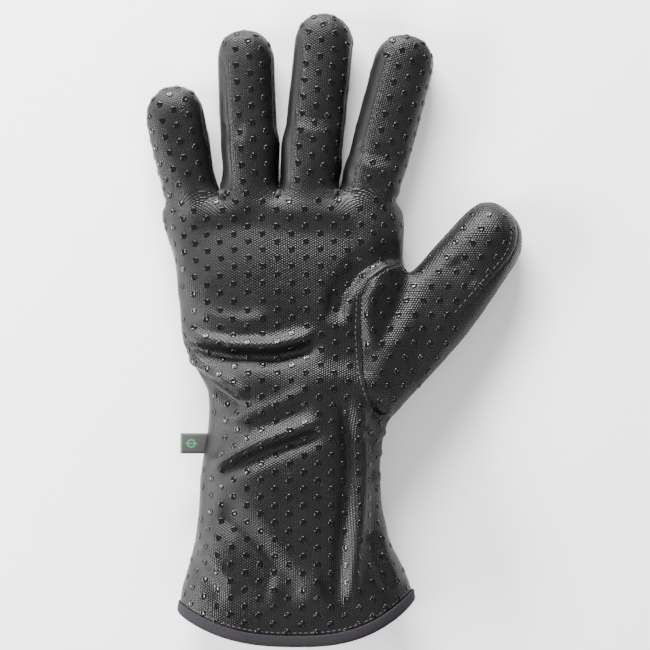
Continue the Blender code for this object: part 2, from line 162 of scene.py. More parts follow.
def outline_at(y):
    """(little-finger edge, thumb edge, height) of the palm and cuff at a place along the glove."""
    return [np.interp(y, OUTLINE[:, 0], OUTLINE[:, column]) for column in (1, 2, 3)]


# %% Loft rings through a digit, and through the palm and cuff
TURN = np.linspace(0.0, 2 * math.pi, 40, endpoint=False)
NARROW_REACH = 0.034
THUMB_HEEL = 0.0052  # how much further the thumb's root reaches on its outer side
FUSE_GAP = 0.0038  # taken off each side of a finger's root so that the remesh leaves neighbours apart
FUSE_REACH = 0.060


def signed_power(value, power):
    return np.sign(value) * np.abs(value) ** power


def rounding(share, power):
    """How much of its width a domed end keeps, from 1 at the start of the dome to 0 at its tip."""
    return np.maximum(1.0 - np.clip(share, 0.0, 1.0) ** power, 0.0) ** (1.0 / power)


def smoothstep(value):
    value = np.clip(value, 0.0, 1.0)
    return value * value * (3.0 - 2.0 * value)


def digit_ring(digit, along):
    share = (along - (digit.length - digit.end)) / digit.end
    half = digit.half - digit.narrower * (1.0 - smoothstep(along / NARROW_REACH))
    if digit.name != "thumb":
        half -= FUSE_GAP * (1.0 - smoothstep(along / FUSE_REACH))
    left, right = rounding(share, digit.left_power), rounding(share, digit.right_power)
    if digit.name == "thumb":
        # its root deepens where it becomes the ball of the thumb
        height = digit.height + 0.13 * max(0.0, -along)
    else:
        # a finger's root sinks below the palm, so that its end leaves no step
        height = digit.height * (1.0 - 0.45 * smoothstep((-along - 0.004) / 0.020))
    flat = signed_power(np.cos(TURN), 2 / DIGIT_SQUARENESS)
    heel = THUMB_HEEL * (1.0 - smoothstep((along + 0.012) / 0.056)) if digit.name == "thumb" else 0.0
    sideways = np.where(flat > 0, flat * (half + heel) * right, flat * half * left)
    rise = signed_power(np.sin(TURN), 2 / DIGIT_SQUARENESS) * rounding(share, 2.4) * height / 2
    ring = digit.start * (1, 1, 0) + np.outer(np.full(len(TURN), along), digit.forward)
    ring = ring + np.outer(sideways, digit.across)
    ring[:, 2] = np.maximum(height / 2 - 0.0008 + rise, 0.0)
    return ring


def squareness_at(y):
    return HAND_SQUARENESS + KNUCKLE_SQUARER * smoothstep((y + 0.010) / 0.065)


def hand_ring(y, shrink=1.0):
    left, right, height = outline_at(y)
    squareness = squareness_at(y)
    sideways = signed_power(np.cos(TURN), 2 / squareness) * (right - left) / 2 * shrink
    rise = signed_power(np.sin(TURN), 2 / squareness) * height / 2 * shrink
    ring = np.zeros((len(TURN), 3))
    ring[:, 0] = (left + right) / 2 + sideways
    ring[:, 1] = y
    ring[:, 2] = np.maximum(height / 2 - 0.0010 + rise, 0.0)
    return ring


def closed_tube(target, rings):
    loops = [[target.verts.new(point) for point in ring] for ring in rings]
    for lower, upper in zip(loops, loops[1:]):
        for i in range(len(lower)):
            j = (i + 1) % len(lower)
            target.faces.new((lower[i], lower[j], upper[j], upper[i]))
    target.faces.new(loops[0][::-1])
    target.faces.new(loops[-1])


# %% Fuse the tubes
ROOT_DEPTH = {"little": 0.022, "ring": 0.026, "middle": 0.026, "index": 0.026, "thumb": 0.060}
DOME_ROWS = np.array((0.0, 0.2, 0.4, 0.58, 0.73, 0.85, 0.93, 0.98, 0.998))
VOXEL = 0.0028


def evaluated_mesh(thing):
    """A plain mesh of an object with its modifiers applied."""
    graph = bpy.context.evaluated_depsgraph_get()
    return bpy.data.meshes.new_from_object(thing.evaluated_get(graph), depsgraph=graph)


def link(name, mesh):
    thing = bpy.data.objects.new(name, mesh)
    bpy.context.scene.collection.objects.link(thing)
    return thing


def apply_modifiers(thing):
    mesh = evaluated_mesh(thing)
    thing.modifiers.clear()
    thing.data = mesh
    return thing


def fused_skin():
    tubes = bmesh.new()
    for digit in digits.values():
        straight = np.linspace(-ROOT_DEPTH[digit.name], digit.length - digit.end, 24)
        dome = digit.length - digit.end * (1.0 - DOME_ROWS[1:])
        closed_tube(tubes, [digit_ring(digit, along) for along in (*straight, *dome)])
    body_rows = np.linspace(HEM_Y - 0.012, KNUCKLE_Y - 0.012, 60)
    rings = [hand_ring(y) for y in body_rows]
    ends = ((0.004, 0.98), (0.007, 0.93), (0.009, 0.84))
    rings += [hand_ring(KNUCKLE_Y - 0.012 + step, shrink) for step, shrink in ends]
    closed_tube(tubes, rings)
    bmesh.ops.recalc_face_normals(tubes, faces=tubes.faces)
    mesh = bpy.data.meshes.new("skin")
    tubes.to_mesh(mesh)
    tubes.free()
    skin = link("skin", mesh)
    fuse = skin.modifiers.new("fuse", "REMESH")
    fuse.mode = "VOXEL"
    fuse.voxel_size = VOXEL
    soften = skin.modifiers.new("soften", "SMOOTH")
    soften.factor = 0.5
    soften.iterations = 6
    return apply_modifiers(skin)


def coordinates(mesh):
    flat = np.empty(len(mesh.vertices) * 3)
    mesh.vertices.foreach_get("co", flat)
    return flat.reshape(-1, 3)


def normals(mesh):
    flat = np.empty(len(mesh.vertices) * 3)
    mesh.vertices.foreach_get("normal", flat)
    return flat.reshape(-1, 3)


def move_to(mesh, points):
    mesh.vertices.foreach_set("co", points.ravel())
    mesh.update()


def vectors(mesh, name):
    flat = np.empty(len(mesh.vertices) * 3)
    mesh.attributes[name].data.foreach_get("vector", flat)
    return flat.reshape(-1, 3)


def keep_vectors(mesh, name, values):
    kept = mesh.attributes.get(name) or mesh.attributes.new(name, "FLOAT_VECTOR", "POINT")
    kept.data.foreach_set("vector", values.astype(np.float32).ravel())


def smoothed(mesh, values, rounds, weight=None):
    """Values at the points of a mesh, evened out with their neighbours', where the weight lets them."""
    ends = np.empty(len(mesh.edges) * 2, dtype=np.int32)
    mesh.edges.foreach_get("vertices", ends)
    first, second = ends.reshape(-1, 2).T
    count = np.bincount(ends, minlength=len(mesh.vertices))[:, None]
    weight = 0.7 if weight is None else 0.7 * weight[:, None]
    for _ in range(rounds):
        total = np.stack([
            np.bincount(first, values[second, axis], len(values))
            + np.bincount(second, values[first, axis], len(values))
            for axis in range(3)], axis=1)
        values = values + (total / count - values) * weight
    return values


skin = fused_skin()
points = coordinates(skin.data)
near_roots = smoothstep((points[:, 1] - 0.004) / 0.024)
near_roots = near_roots * smoothstep((KNUCKLE_Y + 0.010 - points[:, 1]) / 0.014)
near_roots *= smoothstep((normals(skin.data)[:, 2] + 0.2) / 0.5)
move_to(skin.data, smoothed(skin.data, points, 34, near_roots))
# where each point lies before the cloth buckles: it decides panels, seams and the flat layout
keep_vectors(skin.data, "rest", coordinates(skin.data))
print("fused skin", len(skin.data.vertices), "points")

# %% [markdown]
# ## Fill it like cloth
# Real cloth is a little too long for the shape that it covers, so it buckles. Blender's Cloth
# does the same: pressure holds the skin out while its edges grow by a few hundredths. We
# stop each point a few millimetres from where it began, so the outline stays true.

# %% Inflate with the cloth simulation
def inflate(thing, pressure=4.0, growth=0.035, frames=20, cap=0.0045):
    before = coordinates(thing.data)
    cloth = thing.modifiers.new("cloth", "CLOTH")
    settings = cloth.settings
    settings.quality = 5
    settings.mass = 0.3
    settings.tension_stiffness = settings.compression_stiffness = 12.0
    settings.shear_stiffness = 4.0
    settings.bending_stiffness = 0.3
    settings.use_pressure = True
    settings.uniform_pressure_force = pressure
    settings.shrink_min = -growth
    settings.effector_weights.gravity = 0.0
    cloth.collision_settings.use_collision = False
    cloth.point_cache.frame_start, cloth.point_cache.frame_end = 1, frames
    for step in range(1, frames + 1):
        bpy.context.scene.frame_set(step)
    after = coordinates(evaluated_mesh(thing))
    thing.modifiers.clear()
    bpy.context.scene.frame_set(1)
    moved = after - before
    facing = normals(thing.data)
    outward = np.sum(moved * facing, axis=1, keepdims=True)
    # pressure would also round the section and narrow it: the hand inside holds it out
    moved -= facing * np.minimum(outward, 0.0) * 0.9
    far = np.linalg.norm(moved, axis=1, keepdims=True)
    # the walls between the fingers have no room to swell
    flatness = np.abs(facing[:, 2])
    between = smoothstep((before[:, 1] - KNUCKLE_Y + 0.010) / 0.008)
    allowed = cap * (0.30 + 0.70 * smoothstep(flatness / 0.8))
    allowed = (allowed * (1.0 - 0.8 * smoothstep((0.75 - flatness) / 0.4) * between))[:, None]
    moved *= allowed * np.tanh(far / allowed) / np.maximum(far, 1e-9)
    moved = smoothed(thing.data, moved, 3)
    print("cloth moved", round(float(np.linalg.norm(moved, axis=1).mean()) * 1000, 2), "mm on average")
    placed = before + moved
    placed[:, 2] = np.maximum(placed[:, 2], 0.0)
    move_to(thing.data, placed)


inflate(skin)


def subdivide(thing, levels=1):
    finer = thing.modifiers.new("finer", "SUBSURF")
    finer.levels = finer.render_levels = levels
    return apply_modifiers(thing)


subdivide(skin)
print("after the first subdivision", len(skin.data.vertices), "points")


# %% [markdown]
# ## Close the fingers up
# The finger roots were lofted too narrow, so that the remesh kept them apart. Now they get
# their width back, and where two neighbours touch, both stop at the line between them.

# %% Give the finger roots their width
# neighbours, and how far along the glove they press against each other
TOUCHING = (("little", "ring", 0.0010), ("ring", "middle", 0.0240), ("middle", "index", 0.0100))
WALL_GAP = 0.00012


def wall_x(digit, y, side):
    """Where a finger's wall belongs, on X, at a place along the glove."""
    along = (y - digit.start[1]) / digit.forward[1]
    half = digit.half - digit.narrower * (1.0 - smoothstep(along / NARROW_REACH))
    return digit.start[0] + along * digit.forward[0] + side * half / digit.forward[1]


def close_roots(thing):
    """Gives the finger roots back the width that kept them apart, and presses neighbours flat."""
    points, rest = coordinates(thing.data), vectors(thing.data, "rest")
    spread = np.stack([np.abs(digits[name].local(rest)[1]) for name in FINGERS])
    nearest = spread.argmin(axis=0)
    y = rest[:, 1]
    started = smoothstep((y - KNUCKLE_Y + 0.007) / 0.007)
    give, limit_low, limit_high = np.zeros(len(y)), np.full(len(y), -1.0), np.full(len(y), 1.0)
    for order, name in enumerate(FINGERS):
        digit = digits[name]
        along, across, _ = digit.local(rest)
        wide = FUSE_GAP * (1.0 - smoothstep(along / FUSE_REACH)) * started
        outwards = np.sign(across)
        share = np.abs(across) / digit.half
        give += np.where(nearest == order, wide * outwards * smoothstep(share / 0.8), 0.0)
    for left_name, right_name, reach in TOUCHING:
        left, right = digits[left_name], digits[right_name]
        wall_left, wall_right = wall_x(left, y, 1), wall_x(right, y, -1)
        pressed = 1.0 - smoothstep((y - KNUCKLE_Y - reach) / 0.012)
        extra = np.maximum(wall_right - wall_left, 0.0) * 0.5 * pressed * started
        line = (wall_left + wall_right) / 2
        for digit, side in ((left, 1), (right, -1)):
            on = nearest == FINGERS.index(digit.name)
            share = digit.local(rest)[1] * side / digit.half
            give += np.where(on, extra * side * smoothstep(share / 0.8), 0.0)
            if side == 1:
                limit_high = np.where(on & (started > 0), line - WALL_GAP, limit_high)
            else:
                limit_low = np.where(on & (started > 0), line + WALL_GAP, limit_low)
    for group in (points, rest):
        wanted = group[:, 0] + give
        group[:, 0] = wanted + (np.clip(wanted, limit_low, limit_high) - wanted) * started
    move_to(thing.data, points)
    keep_vectors(thing.data, "rest", rest)


close_roots(skin)

# %% [markdown]
# ## Creases and folds
# The big folds are where this glove has been worn and packed: across the heel of the hand,
# down the cuff, and round the thumb's gusset. Each is a chain of points with a width and a
# height. A fold lifts the cloth along its line and lowers it beside it, which is how a soft
# ridge catches the light on one side only.

# %% Folds, as (points in millimetres, width, height, share of the height lost beside it)
FOLDS = (
    (((-58, -14), (-46, -20), (-30, -23.5), (-8, -24), (8, -20), (17, -15)), 3.8, 3.6, 0.9),
    (((-56, -29), (-44, -35), (-32, -43), (-20, -52)), 3.2, 3.0, 0.9),
    (((-50, -6), (-40, -10), (-26, -12), (-10, -10)), 4.5, 1.6, 0.6),
    (((34, -42), (36.5, -60), (37.5, -85), (36, -110), (33, -138), (31, -165)), 4.2, 3.4, 0.7),
    (((-44, -88), (-30, -81), (-12, -73), (8, -66), (20, -62)), 4.0, 3.0, 0.8),
    (((-42, -104), (-24, -119), (-8, -138), (8, -160)), 7.5, -3.8, 0.3),
    (((-40, -62), (-22, -60), (-4, -54), (12, -46)), 4.0, 1.8, 0.7),
    (((44, -55), (49, -58), (54, -59)), 2.2, 1.8, 0.9),
    (((38, -65), (44, -68), (51, -69)), 2.4, 1.9, 0.9),
    (((41, -76), (46, -79), (50, -80)), 2.2, 1.6, 0.9),
    (((43, -88), (46, -92), (49, -94)), 2.2, 1.2, 0.9),
    (((62, 22), (50, 21.5), (37, 15), (28, 3), (25, -14)), 3.0, -3.6, -0.8),
    (((48, 12), (42, 2), (41, -12), (44, -28)), 3.4, 1.8, 0.4),
    (((33, 80), (46, 76), (62, 76)), 2.4, -1.5, -0.6),
    (((-44, 92), (-34, 89), (-22, 90)), 2.4, -1.2, -0.6),
    (((2, 98), (14, 95), (27, 96)), 2.4, -1.2, -0.6),
    (((86, 22), (93, 14), (98, 8)), 2.4, -1.2, -0.6),
    (((-12, -148), (4, -151), (20, -148)), 9.0, 2.2, 0.2),
    (((-48, -128), (-36, -138), (-26, -152)), 5.0, 1.8, 0.6),
    (((46, -118), (50, -134), (57, -150)), 3.0, 1.6, 0.8),
)


def along_path(points, path):
    """(distance, signed side, share along) of each point from a chain of points, in plan."""
    path = np.array(path, float) * MM
    lengths = np.linalg.norm(np.diff(path, axis=0), axis=1)
    done = np.concatenate(((0.0,), np.cumsum(lengths)))
    best = np.full(len(points), 1e9)
    side = np.zeros(len(points))
    share = np.zeros(len(points))
    for i, length in enumerate(lengths):
        run = (path[i + 1] - path[i]) / length
        away = points[:, :2] - path[i]
        t = np.clip(away @ run, 0.0, length)
        apart = away - np.outer(t, run)
        distance = np.linalg.norm(apart, axis=1)
        nearer = distance < best
        best = np.where(nearer, distance, best)
        turned = np.sign(run[0] * apart[:, 1] - run[1] * apart[:, 0])
        side = np.where(nearer, distance * turned, side)
        share = np.where(nearer, (done[i] + t) / done[-1], share)
    return best, side, share


def crease(thing):
    points, facing = coordinates(thing.data), normals(thing.data)
    upper = smoothstep((facing[:, 2] + 0.1) / 0.5)
    lift = np.zeros(len(points))
    for path, width, height, loss in FOLDS:
        distance, side, share = along_path(points, path)
        ends = smoothstep(share / 0.18) * smoothstep((1.0 - share) / 0.18)
        width, height = width * MM, height * MM
        ridge = np.exp(-((distance / width) ** 2))
        beside = np.exp(-(((side + 1.7 * width) / (1.1 * width)) ** 2))
        beside = beside * np.exp(-((distance / (3.5 * width)) ** 4))
        lift += (ridge - loss * beside) * height * ends
    placed = points + facing * (lift * upper)[:, None]
    placed[:, 2] = np.maximum(placed[:, 2], 0.0)
    move_to(thing.data, placed)
    print("folds lift the cloth by up to", round(float(lift.max()) * 1000, 2), "mm")


crease(skin)
subdivide(skin)
print("final skin", len(skin.data.vertices), "points")

# %% [markdown]
# ## Trim the hem
# The cuff's hem is a shallow curve, lowest near its middle. A plane can't cut a curve, so we
# slide the cloth along the glove until the hem is straight, cut it with a plane, and slide
# it back.

# %% Cut the hem on its curve
HEM_EDGES = (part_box("cuff_back")[0][0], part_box("cuff_back")[1][0])
HEM_RISE = 0.0185
HEM_TILT = 0.0030


def hem_rise(x):
    """How far the hem lies up the cuff at a place across it, above its lowest line."""
    middle, half = sum(HEM_EDGES) / 2, (HEM_EDGES[1] - HEM_EDGES[0]) / 2
    share = np.clip((x - middle) / half, -1.0, 1.0)
    return HEM_RISE * np.abs(share) ** 2.6 + HEM_TILT * share**3


def cut_hem(thing, raised=0.0):
    body = bmesh.new()
    body.from_mesh(thing.data)
    rises = {}
    for point in body.verts:
        if point.co.y < WRIST_Y:
            rises[point] = float(hem_rise(point.co.x))
            fade = min(1.0, (WRIST_Y - point.co.y) / 0.05)
            point.co.y -= rises[point] * fade
    everything = body.verts[:] + body.edges[:] + body.faces[:]
    level = HEM_Y + raised
    bmesh.ops.bisect_plane(
        body, geom=everything, plane_co=(0, level, 0), plane_no=(0, -1, 0), clear_outer=True)
    for point in body.verts:
        if point.co.y < WRIST_Y - 0.001:
            rise = float(hem_rise(point.co.x))
            # solve for the place that slid here
            high = point.co.y + rise
            fade = min(1.0, (WRIST_Y - high) / 0.05)
            point.co.y += rise * max(0.0, fade)
    body.to_mesh(thing.data)
    body.free()
    thing.data.update()


cut_hem(skin, 0.0012)
print("open skin", len(skin.data.vertices), "points,", len(skin.data.polygons), "faces")

# %% [markdown]
# ## Cut the skin into the maker's panels
# The palm side, the back and the narrow side strips between the fingers are separate
# pieces of cloth. We cut the finished skin along their seams, so neighbours share one edge
# and never gape. Each piece also stops where the next hinge takes over: a piece may bend
# across one hinge only.

# %% Where each seam lies, as an angle round a digit: 0 is its thumb side, 90 the palm
LEFT_STRIP = (128.0, 200.0)
RIGHT_STRIP = (-38.0, 20.0)
HAS_LEFT_STRIP = ("ring", "middle", "index")
HAS_RIGHT_STRIP = ("little", "ring", "middle")
STRIP_END = 0.009  # the strips close to a point this far before the tip
STRIP_TAPER = 0.014
THUMB_SEAM_INSET = 0.0062  # the back of the thumb wraps this far round onto its palm side


def round_angle(digit, across, up):
    return np.degrees(np.arctan2(up / (digit.height / 2), across / digit.half))


def closing(digit, along):
    """0 where a strip has its full width, 1 past its point."""
    return np.clip((along - (digit.length - STRIP_END - STRIP_TAPER)) / STRIP_TAPER, 0.0, 1.0) ** 2


def finger_seams(digit, along):
    """The angles of (right lower, right upper, left upper, left lower) seams at places along a finger."""
    shut = closing(digit, along)
    right, left = [0 * along] * 2, [0 * along + 180.0] * 2
    if digit.name in HAS_RIGHT_STRIP:
        right = [a + (0.0 - a) * shut for a in RIGHT_STRIP]
    if digit.name in HAS_LEFT_STRIP:
        left = [a + (180.0 - a) * shut for a in LEFT_STRIP]
    return right[0], right[1], left[0], left[1]


def thumb_limit(digit, along):
    """How far across the thumb its palm side's cloth reaches."""
    share = (along - (digit.length - digit.end)) / digit.end
    return digit.half * rounding(share, digit.right_power) - THUMB_SEAM_INSET


# %% Which panel a place on the skin belongs to
# the seam round the ball of the thumb, up the glove, in millimetres
GUSSET_SEAM = np.array(((46.0, -62.0), (40.5, -50.0), (36.8, -38.0), (35.4, -18.0), (36.2, 2.0), (40.0, 10.0),
                        (50.0, 16.5), (63.0, 20.0)))


BASE_SHARE = 0.50  # a digit's base pieces end this far towards its middle hinge


def region_of(points):
    region = np.where(points[:, 1] < WRIST_Y, "cuff", "hand").astype(object)
    spread = np.stack([np.abs(digits[name].local(points)[1]) for name in FINGERS])
    nearest = spread.argmin(axis=0)
    for order, name in enumerate(FINGERS):
        digit = digits[name]
        along = digit.local(points)[0]
        on = (points[:, 1] > KNUCKLE_Y) & (nearest == order)
        region[on & (along <= digit.to_middle * BASE_SHARE)] = name + "_base"
        region[on & (along > digit.to_middle * BASE_SHARE)] = name + "_tip"
    thumb = digits["thumb"]
    along, across, _ = thumb.local(points)
    on = (along > 0) & (across > -(thumb.half + 0.0040)) & (points[:, 1] > WRIST_Y)
    region[on & (along <= thumb.to_middle * BASE_SHARE)] = "thumb_base"
    region[on & (along > thumb.to_middle * BASE_SHARE)] = "thumb_tip"
    return region


def side_of(points, region):
    """palm_side, back, left_fourchette or right_fourchette for each place."""
    left, right, height = outline_at(points[:, 1])
    side = np.where(points[:, 2] > height * 0.46, "palm_side", "back").astype(object)
    seam_x = np.interp(points[:, 1], GUSSET_SEAM[:, 1] * MM, GUSSET_SEAM[:, 0] * MM)
    ball = (region == "hand") & (side == "palm_side") & (points[:, 0] > seam_x) & (points[:, 1] < 0.020)
    side[ball] = "gusset"
    for name, digit in digits.items():
        on = np.isin(region, (name + "_base", name + "_tip"))
        along, across, up = digit.local(points)
        angle = round_angle(digit, across, up)
        if name == "thumb":
            front = (up > 0) & (across < thumb_limit(digit, along))
            side[on] = np.where(front[on], "palm_side", "back")
            continue
        right_low, right_high, left_high, left_low = finger_seams(digit, along)
        chosen = np.where((angle > right_high) & (angle < left_high), "palm_side", "back").astype(object)
        open_strip = closing(digit, along) < 1
        chosen[(angle >= right_low) & (angle <= right_high) & open_strip] = "right_fourchette"
        beyond = np.where(angle < 0, angle + 360.0, angle)
        chosen[(beyond >= left_high) & (beyond <= left_low) & open_strip] = "left_fourchette"
        if name not in HAS_RIGHT_STRIP:
            chosen[chosen == "right_fourchette"] = "back"
        if name not in HAS_LEFT_STRIP:
            chosen[chosen == "left_fourchette"] = "back"
        side[on] = chosen[on]
    return side


# %% [markdown]
# ## Measure the cloth
# The weave and the dots have to follow the cloth, not the air around it. Each point of the
# skin gets its place on the flat cloth in metres, as a UV map: across the glove it is the
# distance round the surface, and along the glove it is the distance from the knuckles.

# %% Lay every piece out flat
ANGLES = np.linspace(-180.0, 180.0, 361)


def arc_table(half, height, squareness=DIGIT_SQUARENESS):
    """Distance round a soft oval from its top, towards its thumb side, at each of ANGLES."""
    turn = np.radians(np.linspace(-180.0, 180.0, 721))
    x = signed_power(np.cos(turn), 2 / squareness)
    z = signed_power(np.sin(turn), 2 / squareness)
    far = np.concatenate(((0.0,), np.cumsum(np.hypot(np.diff(x) * half, np.diff(z) * height / 2))))
    seen = np.degrees(np.unwrap(np.arctan2(z, x)))
    seen += 90.0 - seen[540]
    return far[540] - np.interp(ANGLES, seen, far)


BODY_ROWS = np.linspace(OUTLINE[0, 0], KNUCKLE_Y + 0.004, 80)


def body_arc_tables():
    tables = []
    for y in BODY_ROWS:
        left, right, height = outline_at(y)
        tables.append(arc_table((right - left) / 2, height, squareness_at(y)))
    return np.array(tables)


BODY_ARCS = body_arc_tables()


def body_distance(angle, y):
    """Distance round the palm or cuff from its top, for places at an angle and a place along the glove."""
    row = np.clip((y - BODY_ROWS[0]) / (BODY_ROWS[1] - BODY_ROWS[0]), 0.0, len(BODY_ROWS) - 1.001)
    column = np.clip(angle + 180.0, 0.0, 359.999)
    i, j = row.astype(int), column.astype(int)
    down, over = row - i, column - j
    near = BODY_ARCS[i, j] * (1 - over) + BODY_ARCS[i, j + 1] * over
    further = BODY_ARCS[i + 1, j] * (1 - over) + BODY_ARCS[i + 1, j + 1] * over
    return near * (1 - down) + further * down


def flat_place(points, region, side):
    """(u, v) on the flat cloth for points that all lie in one piece."""
    name = region.split("_")[0]
    if name == "thumb" or side == "gusset":
        return np.stack((points[:, 1], points[:, 0]), axis=1)
    if name in digits:
        digit = digits[name]
        along, across, up = digit.local(points)
        angle = round_angle(digit, across, up)
        return np.stack((np.interp(angle, ANGLES, arc_table(digit.half, digit.height)), along), axis=1)
    left, right, height = outline_at(points[:, 1])
    half = (right - left) / 2
    middle = (left + right) / 2
    up = (points[:, 2] - height / 2 + 0.0010) / (height / 2)
    angle = np.degrees(np.arctan2(up, (points[:, 0] - middle) / half))
    return np.stack((body_distance(angle, points[:, 1]) + middle, points[:, 1]), axis=1)


def seam_distance(points, region, side):
    """Distance in metres from the nearest seam, for points that all lie in one piece."""
    name = region.split("_")[0]
    if name in digits:
        digit = digits[name]
        along, across, up = digit.local(points)
        angle = round_angle(digit, across, up)
        if name == "thumb":
            rim = np.abs(across - thumb_limit(digit, along)) + np.where(up < 0, 1.0, 0.0)
            side = np.abs(np.abs(angle) - 180.0) * 0.00026
            return np.minimum(rim, side)
        beyond = np.where(angle < -90, angle + 360.0, angle)
        gaps = [np.abs(beyond - seam) for seam in finger_seams(digit, along)]
        return np.min(gaps, axis=0) * 0.00023
    left, right, height = outline_at(points[:, 1])
    edge = np.minimum(points[:, 0] - left, right - points[:, 0])
    edge = np.maximum(edge, np.abs(points[:, 2] - height * 0.46) * 0.6)
    if region == "hand" and side in ("palm_side", "gusset"):
        return np.minimum(edge, along_path(points, GUSSET_SEAM)[0])
    return edge


# %% Cut the panels out
THICKNESS = 0.0011
skin_points = coordinates(skin.data)
skin_normals = normals(skin.data)
skin_rest = vectors(skin.data, "rest")
face_points = [tuple(face.vertices) for face in skin.data.polygons]
face_centres = np.array([skin_rest[list(face)].mean(axis=0) for face in face_points])
face_region = region_of(face_centres)
face_side = side_of(face_centres, face_region)


def panel_mesh(name, chosen, region, side="palm_side", inward=0.0):
    """A piece of the skin as its own mesh, with its flat layout and its distance from the seams."""
    faces = [face_points[i] for i in np.flatnonzero(chosen)]
    used = np.unique(np.concatenate([np.array(face) for face in faces]))
    order = {int(old): new for new, old in enumerate(used)}
    points = skin_points[used] - skin_normals[used] * inward
    mesh = bpy.data.meshes.new(name)
    mesh.from_pydata(points.tolist(), [], [[order[i] for i in face] for face in faces])
    corner = np.empty(len(mesh.loops), dtype=np.int32)
    mesh.loops.foreach_get("vertex_index", corner)
    layout = flat_place(skin_rest[used], region, side)
    mesh.uv_layers.new(name="cloth")
    mesh.uv_layers["cloth"].data.foreach_set("uv", layout[corner].astype(np.float32).ravel())
    seam = mesh.attributes.new("seam", "FLOAT", "POINT")
    seam.data.foreach_set("value", seam_distance(skin_rest[used], region, side).astype(np.float32))
    keep_vectors(mesh, "facing", skin_normals[used])
    mesh.shade_smooth()
    return mesh


def thicken(thing, thickness):
    """Gives a piece its cloth's thickness on the inside."""
    mesh = thing.data
    outward = vectors(mesh, "facing") if "facing" in mesh.attributes else normals(mesh)
    wall = thing.modifiers.new("wall", "SOLIDIFY")
    wall.thickness = thickness
    wall.offset = -1.0
    apply_modifiers(thing)
    mesh = thing.data
    # the whole skin's normals, so that no line shows where two pieces meet
    mesh.normals_split_custom_set_from_vertices(np.concatenate((outward, -outward)).tolist())
    if "facing" in mesh.attributes:
        mesh.attributes.remove(mesh.attributes["facing"])


def carry(thing, region):
    """Hangs a piece of the hand on the hand's body, and bakes any other piece's placement into its mesh."""
    if region == "hand":
        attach(thing, "hand")
    elif region == "cuff":
        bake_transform(thing)
    else:
        name, end = region.split("_")
        if end == "base":
            if name == "thumb":
                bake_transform(thing)
            else:
                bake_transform(thing)
        else:
            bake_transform(thing)

# %% [markdown]
# ## Weave and wear, shared by every cloth
# The coating follows the yarns below it, so the cloth shows a hexagonal net of tiny bumps
# just over a millimetre apart. Three cosine waves at 60 degrees to each other add up to
# exactly that net, and they need no picture. A slow noise makes the coating duller in
# some places, as handling does.

# %% Node helpers
def new_group(name, inputs, outputs):
    group = bpy.data.node_groups.new(name, "ShaderNodeTree")
    for label, kind, value in inputs:
        socket = group.interface.new_socket(label, in_out="INPUT", socket_type=kind)
        if value is not None:
            socket.default_value = value
    for label, kind in outputs:
        group.interface.new_socket(label, in_out="OUTPUT", socket_type=kind)
    return group, group.nodes.new("NodeGroupInput"), group.nodes.new("NodeGroupOutput")


def math_node(tree, operation, first, second=None, third=None, clamp=False):
    node = tree.nodes.new("ShaderNodeMath")
    node.operation = operation
    node.use_clamp = clamp
    for socket, value in zip(node.inputs, (first, second, third)):
        if value is None:
            continue
        if isinstance(value, (int, float)):
            socket.default_value = value
        else:
            tree.links.new(value, socket)
    return node.outputs[0]


def mix_colour(tree, share, first, second):
    node = tree.nodes.new("ShaderNodeMix")
    node.data_type = "RGBA"
    for socket, value in ((node.inputs[0], share), (node.inputs[6], first), (node.inputs[7], second)):
        if isinstance(value, (int, float)):
            socket.default_value = value
        elif isinstance(value, tuple):
            socket.default_value = (*value, 1.0)
        else:
            tree.links.new(value, socket)
    return node.outputs[2]


# %% The hexagonal net of bumps
def hex_weave_group():
    """Height from 0 to 1 of a net of round bumps, one every Pitch."""
    sockets = (("Place", "NodeSocketVector", None), ("Pitch", "NodeSocketFloat", 0.0013))
    group, given, result = new_group("hex_weave", sockets, (("Height", "NodeSocketFloat"),))
    split = group.nodes.new("ShaderNodeSeparateXYZ")
    group.links.new(given.outputs["Place"], split.inputs[0])
    turns = math_node(group, "DIVIDE", 4.0 * math.pi / math.sqrt(3.0), given.outputs["Pitch"])
    waves = []
    for angle in (0.0, 60.0, 120.0):
        across = math_node(group, "MULTIPLY", split.outputs["X"], math.cos(math.radians(angle)))
        along = math_node(group, "MULTIPLY", split.outputs["Y"], math.sin(math.radians(angle)))
        phase = math_node(group, "MULTIPLY", math_node(group, "ADD", across, along), turns)
        waves.append(math_node(group, "COSINE", phase))
    total = math_node(group, "ADD", math_node(group, "ADD", waves[0], waves[1]), waves[2])
    height = math_node(group, "MULTIPLY_ADD", total, 1.0 / 4.5, 1.5 / 4.5, clamp=True)
    group.links.new(height, result.inputs["Height"])
    return group


HEX_WEAVE = hex_weave_group()


def wear_group():
    """Patches from 0 to 1 where handling has dulled a surface."""
    sockets = (("Place", "NodeSocketVector", None), ("Size", "NodeSocketFloat", 60.0))
    group, given, result = new_group("handled_patches", sockets, (("Patches", "NodeSocketFloat"),))
    broad = group.nodes.new("ShaderNodeTexNoise")
    broad.inputs["Detail"].default_value = 4.0
    broad.inputs["Roughness"].default_value = 0.6
    group.links.new(given.outputs["Place"], broad.inputs["Vector"])
    group.links.new(given.outputs["Size"], broad.inputs["Scale"])
    patches = math_node(group, "MULTIPLY_ADD", broad.outputs["Fac"], 2.6, -0.8, clamp=True)
    group.links.new(patches, result.inputs["Patches"])
    return group


HANDLED = wear_group()


def place_group(tree, group, place, **values):
    node = tree.nodes.new("ShaderNodeGroup")
    node.node_tree = group
    tree.links.new(place, node.inputs["Place"])
    for label, value in values.items():
        node.inputs[label].default_value = value
    return node.outputs[0]
